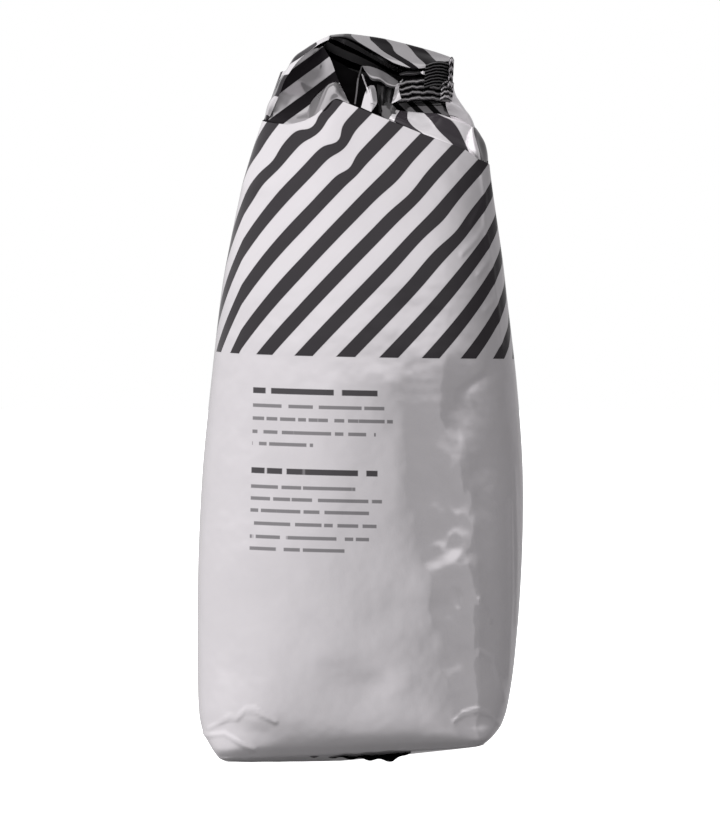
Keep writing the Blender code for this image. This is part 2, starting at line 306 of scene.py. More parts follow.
    def build(self) -> bpy.types.Object:
        """Return the body as one smooth sheet of film."""
        turn = self.columns()
        share = np.concatenate([np.linspace(0, 0.07, 30, endpoint=False), np.linspace(0.07, 1, self.up - 30)])
        heights = share[:, None] * self.top_heights(turn)[None, :]
        points = np.concatenate([self.underside(turn), self.shape(heights, turn)])
        places = np.stack([self.print_across(points) + self.bend(points), points[..., 2]], axis=-1)
        lift = self.swell(points) + self.folded_side(points) + self.wrinkles(points) + self.ridges(points)
        points = points + grid_normals(points) * lift[..., None]
        return film_mesh("trunk_film", points, places, closed=True)

    def columns(self) -> np.ndarray:
        """Return the angle of every column: from the middle of the back round by the left side."""
        even = np.linspace(0, 2 * math.pi, self.around, endpoint=False)
        return np.mod(even + 0.45 * np.sin(even) + math.pi / 2, 2 * math.pi)

    def underside(self, angle: np.ndarray) -> np.ndarray:
        """Return rows of points that close the base, from its middle to its outline."""
        outline = self.shape(np.zeros((1, len(angle))), angle)
        middle = outline.mean(axis=1, keepdims=True)
        return middle + (outline - middle) * np.linspace(0.01, 0.96, 12)[:, None, None]

    def film_across(self, points: np.ndarray) -> np.ndarray:
        """Return the length along the film from its middle line, for every point."""
        flat = points[..., :2]
        steps = np.linalg.norm(np.diff(flat, axis=1), axis=-1)
        length = np.concatenate([np.zeros((len(points), 1)), np.cumsum(steps, axis=1)], axis=1)
        result = np.empty_like(length)
        for i, row in enumerate(flat):
            front = np.where(row[:, 1] < 0)[0]
            order = front[np.argsort(row[front, 0])]
            result[i] = length[i] - np.interp(self.middle_x, row[order, 0], length[i, order])
        return result

    def print_across(self, points: np.ndarray) -> np.ndarray:
        """Return the print's place across the film, drawn out where the front turns to its two sides."""
        across = self.film_across(points)
        front = points[..., 1] < 0
        left = np.maximum(self.print_sides[0] - across, 0.0)
        right = np.maximum(across - self.print_sides[1], 0.0)
        left = np.minimum(left, np.where(front, left, 0.0).max(axis=1, keepdims=True))
        right = np.minimum(right, np.where(front, right, 0.0).max(axis=1, keepdims=True))
        across = across - self.print_draw[0] * left + self.print_draw[1] * right
        sides = [np.where(front, across, 0.0).min(axis=1), np.where(front, across, 0.0).max(axis=1)]
        for side, column, goal in ((sides[0], 0, self.print_back[0]), (sides[1], -1, self.print_back[1])):
            reach = (across[:, column] - side)[:, None]
            share = np.clip((across - side[:, None]) / reach, 0.0, 1.0) * ~front
            across = across + share * (goal - across[:, column])[:, None]
        return across

    def bend(self, points: np.ndarray) -> np.ndarray:
        """Return how far the stripes are pushed sideways at each point, in metres."""
        push = np.zeros(points.shape[:2])
        for x, height, radius, part in self.bends:
            gap = (points[..., 0] - x) ** 2 + (points[..., 2] - height) ** 2
            push += part * np.exp(-gap / radius ** 2)
        return push * STRIPE_PITCH * (points[..., 1] < 0)

    def swell(self, points: np.ndarray) -> np.ndarray:
        """Return how far the film stands out at each point, in metres."""
        out = np.zeros(points.shape[:2])
        for x, height, wide, tall, lift in self.swells:
            gap = ((points[..., 0] - x) / wide) ** 2 + ((points[..., 2] - height) / tall) ** 2
            out += lift * np.exp(-gap)
        return out * (points[..., 1] < 0)

    # Where the front folds over to the flat right side: x of the fold, and height, from the base up.
    side_fold: tuple[tuple[float, float], ...] = (
        (0.0330, 0.0060), (0.0354, 0.0160), (0.0348, 0.0340), (0.0351, 0.0460), (0.0342, 0.0626), (0.0330, 0.0821),
        (0.0309, 0.0941), (0.0297, 0.1001), (0.0276, 0.1067), (0.0280, 0.1097), (0.0306, 0.1121),
        (0.0363, 0.1150), (0.0372, 0.1220),
    )
    side_fold_slope: float = 0.12
    side_fold_reach: float = 0.0045

    def folded_side(self, points: np.ndarray) -> np.ndarray:
        """Return how far the film falls away behind the fold on the right of the front, in metres."""
        fold = np.asarray(self.side_fold)
        past = points[..., 0] - np.interp(points[..., 2], fold[:, 1], fold[:, 0])
        drop = np.maximum(past, 0.0) * np.exp(-(past / self.side_fold_reach) ** 2)
        fade = np.clip((fold[-1, 1] + 0.004 - points[..., 2]) / 0.008, 0.0, 1.0)
        fade = fade * np.clip((points[..., 2] - fold[0, 1]) / 0.008, 0.0, 1.0)
        return -self.side_fold_slope * drop * fade * (points[..., 1] < 0)

    def wrinkles(self, points: np.ndarray) -> np.ndarray:
        """Return the height of the small dents where the front turns to the right side, in metres."""
        lift = np.zeros(points.shape[:2])
        for i, row in enumerate(points):
            for j, (x, y, z) in enumerate(row):
                near = math.exp(-((x - 0.0275) / 0.0065) ** 2) * math.exp(-((z - 0.056) / 0.034) ** 2)
                if y < 0 and near > 0.02:
                    fine = noise.noise(Vector((x * 120, 3.1, z * 95)))
                    ridge = 0.5 - abs(noise.noise(Vector((x * 210, 8.7, z * 150))))
                    lift[i, j] = near * (0.00060 * fine + 0.00045 * ridge)
        return lift

    # Thin raised creases near the two bottom corners: corners (x, height) of each crease.
    creases: tuple[tuple[tuple[float, float], ...], ...] = (
        ((-0.0448, 0.0098), (-0.0384, 0.0136), (-0.0362, 0.0134), (-0.0338, 0.0158), (-0.0310, 0.0160),
         (-0.0249, 0.0125)),
        ((-0.0465, 0.0076), (-0.0400, 0.0086), (-0.0315, 0.0040)),
        ((0.0279, 0.0128), (0.0306, 0.0148), (0.0345, 0.0158), (0.0385, 0.0140), (0.0410, 0.0110)),
        ((0.0362, 0.1735), (0.0371, 0.1665), (0.0368, 0.1580), (0.0388, 0.1490), (0.0404, 0.1370), (0.0420, 0.1230)),
        ((0.0371, 0.1665), (0.0330, 0.1590)), ((0.0368, 0.1580), (0.0345, 0.1545), (0.0300, 0.1500)),
        ((0.0388, 0.1490), (0.0350, 0.1440)), ((0.0404, 0.1370), (0.0372, 0.1335)),
        ((0.0440, 0.0250), (0.0450, 0.0480), (0.0446, 0.0760)), ((0.0462, 0.0400), (0.0466, 0.0620), (0.0458, 0.0860)),
        ((0.0352, 0.0330), (0.0395, 0.0300), (0.0430, 0.0180)), ((0.0350, 0.0480), (0.0385, 0.0420)),
    )

    crease_height: float = 0.00024
    crease_width: float = 0.0007

    def ridges(self, points: np.ndarray) -> np.ndarray:
        """Return the height of the thin creases at each point, in metres."""
        flat = points[..., [0, 2]]
        lift = np.zeros(points.shape[:2])
        for line in self.creases:
            for start, end in zip(line, line[1:]):
                start = np.asarray(start)
                way = np.asarray(end) - start
                share = np.clip(((flat - start) @ way) / (way @ way), 0.0, 1.0)
                gap = np.linalg.norm(flat - start - share[..., None] * way, axis=-1)
                lift = np.maximum(lift, self.crease_height * np.exp(-(gap / self.crease_width) ** 2))
        return lift * (points[..., 1] < 0)

    def back(self) -> bpy.types.Object:
        """Return the film of the back above the body, up to the crest."""
        angle = np.linspace(-0.12, math.pi + 0.12, 150)
        keys = [row[0] for row in self.hood]
        numbers = blend_rows(keys, [row[1:] for row in self.hood], np.linspace(keys[0], keys[-1], 60))
        mid_x, wide, mid_y, deep, square, rise = [column[:, None] for column in numbers.T]
        heights = np.linspace(keys[0], keys[-1], 60)[:, None]
        cosine = np.cos(angle)[None, :]
        sine = np.sin(angle)[None, :]
        side = np.sign(cosine) * np.abs(cosine) ** (2 / square)
        face = np.sign(sine) * np.abs(sine) ** (2 / square)
        points = np.stack([mid_x + wide * side, mid_y + deep * face, heights + rise * side * wide], axis=-1)
        turn = self.columns()
        edge = self.print_across(self.shape(np.full((1, len(turn)), self.stations[-1][0]), turn))[0]
        order = np.argsort(turn)
        across = np.interp(np.mod(angle, 2 * math.pi), turn[order], edge[order])
        places = np.stack([np.broadcast_to(across, points.shape[:2]), points[..., 2]], axis=-1)
        return film_mesh("back_film", crumple(points, 0.0006, 0.011, 3.0), places)

    hood: tuple[Row, ...] = (
        # height, middle x, half-width, middle y, half-depth, squareness, rise
        (0.1840, 0.0062, 0.0330, -0.0010, 0.0188, 2.1, -0.36),
        (0.1887, 0.0072, 0.0312, -0.0020, 0.0162, 2.1, -0.444),
        (0.1960, 0.0076, 0.0268, 0.0010, 0.0110, 2.1, -0.40),
        (0.2040, 0.0069, 0.0217, 0.0025, 0.0060, 2.2, -0.30),
        (0.2095, 0.0086, 0.0189, 0.0035, 0.0022, 2.3, -0.24),
        (0.2102, 0.0090, 0.0181, 0.0035, 0.0014, 2.3, -0.225),
    )


@dataclass
class BackSeam:
    """The lap seam down the middle of the back: a flat strip of film."""

    width: float = 0.0110
    thick: float = 0.0006
    edge: float = 0.0008
    low: float = 0.0104
    high: float = 0.1880

    def build(self, trunk: Trunk) -> list[bpy.types.Object]:
        """Return the seam as one strip that follows the back of the body."""
        heights = np.linspace(self.low, self.high, 240)
        half = self.width / 2
        offset = np.concatenate([[-half], np.linspace(self.edge - half, half - self.edge, 11), [half]])
        mid_x, wide, mid_y, deep, square, rise = [column[:, None] for column in trunk.table(heights).T[:6]]
        face = (1 - np.abs(offset / wide) ** square) ** (1 / square)
        lift = np.full((len(heights), len(offset)), self.thick)
        lift[:, [0, -1]] = lift[[0, -1], :] = -self.thick / 2
        points = np.stack([mid_x + offset + 0 * wide, mid_y + deep * face + lift,
                           heights[:, None] + rise * offset], axis=-1)
        turn = trunk.columns()
        start = trunk.print_across(trunk.shape(np.repeat(heights[:, None], len(turn), axis=1), turn))[:, :1]
        places = np.stack([start - offset, points[..., 2]], axis=-1)
        return [film_mesh("back_seam", points, places)]


# ---------------------------------------------------------------- the folded top
@dataclass
class LeftFold:
    """The left side of the top: a steep wall, its rim, and the roll of film in front of it."""

    # Rows from the bottom up, each from the rim to the pocket: (x, y, z, stripe count) in mm.
    wall: Knots = (
        ((-29.3, -3, 185.7, -5.72), (-25.9, -8, 186.8, -5.6), (-20.5, -13, 185.2, -5.05),
         (-15.1, -15.2, 185.5, -4.68), (-10.7, -16, 187.5, -4.56), (-4.2, -12, 192.1, -4.53)),
        ((-28, -5.6, 190, -6.07), (-25.3, -9.9, 189, -5.78), (-20.5, -14.5, 187.7, -5.31),
         (-15.4, -16.6, 188, -4.96), (-11.2, -17.2, 189.9, -4.85), (-3.9, -12, 194.4, -4.75)),
        ((-27.1, -6.6, 191.3, -6.14), (-23.5, -10.5, 190.3, -5.78), (-19.3, -13.2, 189.4, -5.38),
         (-15.1, -13, 190.3, -5.16), (-11.6, -11, 193.3, -5.2), (-3.9, -9, 195.7, -4.87)),
        ((-25.6, -9.5, 193.6, -6.27), (-21.4, -9.8, 192.7, -5.87), (-17.6, -9.5, 192.1, -5.52),
         (-14, -8, 193.4, -5.38), (-10.7, -5, 196.7, -5.46), (-4.2, -5, 197, -5.01)),
        ((-23.8, -11, 197.7, -6.56), (-20.2, -9, 197.2, -6.23), (-16.7, -7.2, 196.6, -5.91),
         (-13.1, -5, 197.9, -5.76), (-9.9, -2.8, 200.1, -5.73), (-6, -2, 200.7, -5.5)),
        ((-22.3, -11, 201.6, -6.84), (-18.7, -8.5, 201.4, -6.54), (-15.5, -6, 201.1, -6.27),
         (-12.5, -4, 201.8, -6.11), (-9.9, -2.5, 203, -6.03), (-7.5, -1.5, 204.6, -6)),
        ((-20.2, -10, 204.9, -7.01), (-17.3, -7.5, 204.7, -6.76), (-14.6, -5.5, 205, -6.59),
         (-12.2, -3.6, 205.7, -6.48), (-10.5, -2.3, 206.6, -6.43), (-8.7, -1.5, 207.9, -6.42)),
        ((-17.6, -7.5, 208.2, -7.14), (-15.5, -6, 208, -6.96), (-14, -4.5, 208.3, -6.88),
         (-12.5, -3, 209, -6.83), (-11.4, -2, 209.6, -6.8), (-10.2, -1, 210.6, -6.8)),
        ((-14, -4, 211.2, -7.16), (-13.4, -3.4, 211.2, -7.12), (-12.8, -2.9, 211.3, -7.08),
         (-12.2, -2.4, 211.4, -7.05), (-11.7, -1.6, 211.7, -7.03), (-11.1, -1, 212, -7.02)),
    )
    # Rows from the bottom up, each from the rim round to the back.
    rim: Knots = (
        ((-28.7, -4.2, 185.1, -5.6), (-29.7, -3.4, 184.8, -5.7), (-30, 3, 185, -6),
         (-28.9, 10, 185.1, -6.3)),
        ((-27.4, -6.6, 189.5, -5.85), (-28.3, -5.6, 189.8, -5.85), (-28.6, 0, 190, -6.2),
         (-27.1, 8, 189.6, -6.5)),
        ((-25.6, -9.8, 193.6, -6.35), (-27.1, -8.6, 193.9, -6.3), (-27.5, -1, 194.4, -6.6),
         (-25.6, 7, 194, -6.9)),
        ((-23.8, -11.1, 197.7, -6.62), (-25, -9.8, 197.8, -6.62), (-25.4, -2, 198.3, -6.8),
         (-23.4, 6, 197.9, -7.1)),
        ((-22.3, -11.1, 201.6, -6.85), (-23.5, -9.8, 201.6, -6.8), (-23.6, -2, 202.2, -7),
         (-21.6, 5, 201.8, -7.4)),
        ((-20.2, -10.1, 204.9, -7.15), (-21.4, -9, 204.9, -7.3), (-21.8, -2, 205.1, -7.5),
         (-19.5, 4.5, 205.1, -7.6)),
        ((-17.6, -7.6, 208.2, -7.5), (-19.4, -6.5, 208.6, -7.85), (-19.1, -1, 208.8, -7.9),
         (-16.8, 4, 208.3, -7.95)),
        ((-14, -4.1, 211.2, -7.54), (-15.8, -3, 211.4, -7.95), (-15.6, 0, 211.5, -7.97),
         (-13.8, 4, 211, -8)),
        ((-11.1, -1, 213.2, -7.45), (-12.3, -0.5, 213.7, -7.45), (-12, 1.5, 213.6, -7.5),
         (-10.5, 4, 213.4, -7.6)),
        ((-8.1, 1.5, 214.5, -7.4), (-9.3, 1.5, 215.1, -7.4), (-9, 2.5, 215.2, -7.4),
         (-7.8, 4, 214.9, -7.4)),
    )
    # Rows from the front panel up and over the roll, each from left to right.
    roll: Knots = (
        ((-19, -14.6, 185.5, -5.04), (-14.5, -16.6, 186.9, -4.94), (-10.7, -17.6, 190, -4.85),
         (-6.5, -17.2, 193.1, -4.7), (-2.4, -16.5, 193.1, -4.5)),
        ((-16.6, -12.5, 188.8, -5.25), (-13.9, -16.2, 189.6, -5.06), (-10.4, -17.4, 193.1, -5),
         (-7.1, -16.6, 195.9, -5), (-3.3, -16.2, 194.8, -5.1)),
        ((-15.5, -9, 192.7, -5.45), (-13.1, -13.5, 193.5, -5.25), (-10.4, -16.2, 196.1, -5.12),
         (-7.4, -16.6, 197.9, -5.2), (-4.2, -14, 196.7, -5.25)),
        ((-14, -6.5, 196.4, -5.6), (-11.9, -11, 197, -5.45), (-9.8, -14, 199, -5.35),
         (-7.4, -14.4, 199.7, -5.35), (-5.3, -12, 199, -5.35)),
        ((-12.2, -4.5, 198.8, -5.62), (-10.7, -8, 199.3, -5.6), (-9.2, -10, 200.4, -5.55),
         (-7.4, -10, 201, -5.5), (-6, -8, 200.5, -5.5)),
        ((-11.4, -1, 199.2, -5.7), (-10.2, -2, 199.5, -5.7), (-8.7, -2.5, 200.1, -5.7),
         (-7.2, -2.5, 200.4, -5.7), (-6.3, -2, 200.1, -5.7)),
    )

    def build(self) -> list[bpy.types.Object]:
        """Return the wall, the rim and the roll."""
        return [folded_sheet("left_wall", self.wall, 0.35, 0.03), folded_sheet("left_rim", self.rim, 0.35, 0.05),
                folded_sheet("left_roll", self.roll, 0.30)]


@dataclass
class TopFlap:
    """The back film rolled forward over the top, with the shaded side of it below."""

    # Rows from behind the crest down to the front edge, each from left to right.
    flap: Knots = (
        ((-9, 6, 212.6, -1.2), (-4.2, 6.1, 212.9, -0.95), (1.8, 6.1, 212.3, -0.35),
         (7.5, 6.1, 211.4, 0.2), (13.5, 6.1, 209.9, 0.75), (19.5, 6.1, 208.4, 1.25), (24, 6, 206.9, 1.5),
         (27.6, 5.2, 205.7, 1.65)),
        ((-9, 5, 215.3, -0.95), (-4.2, 5, 215.7, -0.7), (1.8, 5, 215, -0.1), (7.5, 5, 214.1, 0.46),
         (13.5, 5, 212.6, 1), (19.5, 5, 211.1, 1.5), (24, 4.5, 209.6, 1.75), (27.6, 3.5, 208.3, 1.9)),
        ((-9, 3, 215.5, -0.95), (-4.2, 3, 215.9, -0.7), (1.8, 3, 215.2, -0.1), (7.5, 3, 214.3, 0.44),
         (13.5, 3, 212.9, 0.99), (19.5, 3, 211.3, 1.48), (24, 3, 210, 1.7), (27.9, 2.5, 208.6, 1.9)),
        ((-9, 1, 215.2, -0.95), (-4.2, 0.5, 215.5, -0.69), (2.1, 0, 213.9, -0.1), (7.8, 0, 212.7, 0.3),
         (13.5, 0, 211.5, 0.84), (19.5, 0, 209.8, 1.33), (23.6, 0.5, 208.8, 1.62),
         (27.9, 1.5, 208.4, 1.88)),
        ((-8.7, -0.5, 215, -0.94), (-3.9, -1.5, 215, -0.66), (2.7, -4, 212.2, -0.32),
         (8.4, -5, 210.1, 0.2), (13.7, -5.5, 208.9, 0.65), (19.4, -5, 208, 1.18), (23, -3, 207.8, 1.5),
         (27.8, 0.5, 208.1, 1.86)),
        ((-8.7, -1.5, 214.8, -0.93), (-3.9, -3, 214.5, -0.64), (3, -7, 211.1, -0.52),
         (8.9, -9, 207.9, -0.35), (14.6, -9.5, 206.4, 0.25), (19.6, -8.5, 206.1, 0.99),
         (22.7, -5.5, 207.1, 1.42), (27.8, -0.2, 207.8, 1.84)),
        ((-8.7, -1.6, 214.6, -0.92), (-3.9, -3.2, 214.3, -0.64), (3.3, -7.5, 210.6, -0.59),
         (9.2, -9.8, 207.1, -0.58), (15.2, -10.2, 205.2, 0.02), (19.9, -8.8, 205.4, 0.98),
         (22.7, -5.8, 206.8, 1.41), (27.8, -0.4, 207.7, 1.83)),
    )
    # Rows from the front edge back into the pocket, each from left to right.
    under: Knots = (
        ((-8.7, -1.3, 214.8, -0.98), (-3.9, -2.9, 214.4, -0.61), (3.3, -7.2, 210.7, -0.58),
         (9.2, -9.5, 207.3, -0.58), (15.2, -9.9, 205.3, 0), (19.9, -8.5, 205.5, 0.95),
         (22.7, -5.5, 206.9, 1.4), (27.8, -0.3, 207.8, 1.83)),
        ((-9, -1, 214.4, -1.5), (-4.2, -2, 213.8, -1.1), (3, -5.5, 210.2, -0.85),
         (8.9, -7.5, 206.9, -0.8), (14.9, -8, 204.9, -0.4), (20, -7, 205.1, 0.6), (23, -4.5, 206.6, 1.2),
         (27.5, 0, 207.6, 1.7)),
        ((-9.6, -0.5, 213.7, -1.9), (-5.4, -0.5, 212.7, -1.62), (0.6, -1, 209.1, -1.85),
         (6.6, -2, 206, -1.8), (12.5, -3, 204.8, -1), (19.7, -3, 204.8, -0.2), (23.3, -2, 206, 0.6),
         (27, 1, 207.3, 1.6)),
        ((-10.5, 1, 212.4, -2.35), (-6.6, 1.5, 210.3, -2.35), (-1.2, 2, 206.8, -2.6),
         (4.5, 2, 204.4, -2.7), (11.4, 1, 203.8, -1.8), (19.2, 1, 204.1, -1.2), (23.4, 1, 205.5, 0),
         (26.4, 2, 206.8, 1.5)),
        ((-11.1, 3, 211, -2.7), (-7.8, 4, 208, -2.9), (-2.4, 4.5, 203.9, -3.3), (3.6, 4.5, 201.5, -3.5),
         (10.8, 4, 201.5, -2.6), (18.6, 4, 202.7, -2.2), (23.4, 4, 204.8, -0.6), (26.1, 4, 205.9, 1.4)),
    )

    def build(self) -> list[bpy.types.Object]:
        """Return the flap and its underside."""
        return [folded_sheet("top_flap", self.flap, 0.35, 0.06), folded_sheet("under_flap", self.under, 0.35)]


@dataclass
class Shoulder:
    """The front film behind the ridge, gathered up to the neck under the seal."""

    # Rows from the ridge up to the neck, each from left to right.
    slope: Knots = (
        ((8.6, -16.5, 189.6, -1.2), (12.7, -16.6, 187.5, -0.72), (18.1, -16.2, 185.1, -0.57),
         (23.1, -15, 183, -0.3), (27.9, -13.2, 181.1, 0), (32.1, -10.8, 179.3, 0.41),
         (35.2, -8, 176.4, 0.6)),
        ((8.6, -17.4, 190, -1.2), (12.7, -17.4, 188.1, -0.72), (18.1, -16.8, 185.7, -0.58),
         (23.1, -15.6, 183.6, -0.3), (27.9, -13.9, 181.8, 0), (32.1, -11.5, 180.1, 0.41),
         (35.1, -8.8, 177.3, 0.6)),
        ((8.9, -16.6, 190.5, -1.2), (13, -16.6, 189, -0.69), (18.4, -16, 186.6, -0.44),
         (23.7, -14.8, 184.6, -0.14), (28.2, -13, 182.8, 0.11), (31.8, -10.9, 181.3, 0.43),
         (34.6, -8, 178.8, 0.6)),
        ((9.5, -14.2, 191.3, -1.2), (13.6, -13.8, 190.2, -0.6), (19, -13.2, 188.5, -0.24),
         (24.1, -12.2, 186.7, 0.08), (27.9, -10.8, 185.1, 0.28), (31.2, -9.2, 183.5, 0.46),
         (34, -7, 181.2, 0.6)),
        ((10.1, -11.4, 191.9, -1.2), (14.3, -11, 191.5, -0.53), (18.7, -10.6, 190.5, -0.14),
         (23.8, -10.2, 189.3, 0.2), (27.7, -9.2, 187.7, 0.38), (30.7, -8, 186.2, 0.5),
         (33.4, -6, 184.2, 0.6)),
        ((10.7, -8.8, 192.7, -1.2), (14.6, -8.6, 192.3, -0.48), (18.5, -8.4, 191.9, -0.05),
         (23.2, -8, 191.6, 0.45), (27.1, -7, 190.4, 0.48), (30.4, -6, 189.2, 0.55), (33.4, -4, 187.8, 0.6)),
        ((11, -5.5, 192.8, -1.2), (14.6, -5.5, 192.2, -0.48), (18.5, -5.5, 191.6, -0.05),
         (23.3, -5, 191.3, 0.45), (26.9, -4.5, 190.2, 0.48), (30.2, -4, 189, 0.55), (33.2, -2, 187.5, 0.6)),
    )
    # Rows from the fold line up under the seal, each from left to right.
    neck: Knots = (
        ((6.5, -11.5, 190, -4.48), (8.9, -11, 189.7, -4.06), (11.3, -10, 190.3, -3.45),
         (14, -8, 191.3, -2.73), (18.5, -7.5, 191.1, -1.85), (23.2, -7, 191.1, -0.88),
         (27.4, -6, 191, -0.06), (30.4, -5, 190.2, 0.36)),
        ((6.5, -9.5, 192.4, -4), (8.9, -9, 192.4, -3.52), (11.3, -8.4, 192.5, -3.03),
         (14, -7.4, 192.8, -2.42), (18.5, -7, 192.8, -1.52), (23.2, -6.5, 192.8, -0.55),
         (26.8, -5.6, 192.8, 0.18), (28.6, -5, 192.5, 0.48)),
        ((7.2, -6, 194.6, -3.45), (8.9, -6.3, 194.6, -3.09), (11.3, -6.5, 194.6, -2.61),
         (14, -6.5, 194.6, -2.06), (18.5, -6.3, 194.6, -1.15), (23.3, -6, 194.6, -0.18),
         (26.6, -5, 194.6, 0.48), (27.5, -4, 194.6, 0.67)),
        ((7.2, -3, 195.9, -3.21), (9, -3.3, 195.9, -2.85), (11.3, -3.5, 195.9, -2.36),
         (14, -3.5, 195.9, -1.82), (18.5, -3.3, 195.9, -0.91), (23.3, -3, 195.9, 0.06),
         (26, -2, 195.9, 0.61), (26.9, -1, 195.9, 0.79)),
    )
    # Rows from the ridge up, each from the front fold round to the back.
    gusset: Knots = (
        ((30.4, -8.6, 180, 0.62), (32.8, -7.4, 177.6, 0.68), (34.9, -5.4, 175.5, 0.8),
         (36.1, -4, 175, 1), (37.1, -2, 174.4, 1.2), (38.1, 3, 173.9, 1.3), (38.6, 10, 174, 1.5)),
        ((30.7, -8.6, 182, 0.62), (32.7, -9.6, 180.5, 0.68), (34.8, -9.6, 179.3, 0.8),
         (35.8, -7.4, 179.1, 1), (36.7, -4.2, 178.8, 1.2), (38.2, 2, 178.9, 1.3), (38.6, 10, 178.8, 1.5)),
        ((31, -6.4, 184.5, 0.62), (32.5, -8, 183.8, 0.68), (33.9, -9.2, 182.9, 0.8),
         (34.9, -7.4, 182.7, 1), (35.8, -4, 182.4, 1.2), (37.5, 2, 182.8, 1.3), (37.7, 10, 182.7, 1.5)),
        ((31.9, -4.6, 186.6, 0.62), (32.7, -5.6, 186.4, 0.68), (33.4, -6.4, 186.3, 0.8),
         (34, -5.4, 186.1, 1), (35, -2.6, 186, 1.2), (36, 2, 185.8, 1.3), (36.1, 9, 185.7, 1.5)),
        ((32.9, -3.4, 188, 0.62), (33.1, -3.8, 187.9, 0.68), (33.6, -4.2, 187.8, 0.8),
         (33.9, -3.4, 187.8, 1), (34.4, -1.4, 187.7, 1.2), (34.8, 2, 187.6, 1.3), (34.6, 7, 187.4, 1.5)),
    )
    # Rows from the seal down, each from the front round to the back.
    pale: Knots = (
        ((25.6, -6, 200.8, 0.7), (26.5, -5.6, 200.6, 0.7), (27.6, -3.6, 200.6, 0.7), (27.6, 3, 200.2, 0.7)),
        ((25.6, -7, 197.2, 0.7), (26.8, -6.6, 197.3, 0.7), (28.5, -4.4, 197.3, 0.7), (28.8, 3, 196.6, 0.7)),
        ((25.6, -7.6, 194.3, 0.7), (28, -7.2, 194.3, 0.7), (30.9, -4.6, 193.7, 0.7), (31.2, 4, 193.1, 0.7)),
        ((26.2, -6.6, 192.2, 0.7), (29.5, -5.8, 191.6, 0.7), (33, -3.6, 190.6, 0.7), (33.4, 6, 189.8, 0.7)),
        ((27.4, -5.2, 189.9, 0.7), (30.8, -4.2, 188.4, 0.7), (34.5, -2, 186.9, 0.7), (34.9, 8, 186, 0.7)),
    )

    def build(self) -> list[bpy.types.Object]:
        """Return the slope, the neck, the right gusset and the pale film beside the seal."""
        return [folded_sheet("shoulder", self.slope, 0.35), folded_sheet("neck", self.neck, 0.35, 0.1),
                folded_sheet("right_gusset", self.gusset, 0.3), folded_sheet("pale_neck_film", self.pale, 0.3, 0.25)]


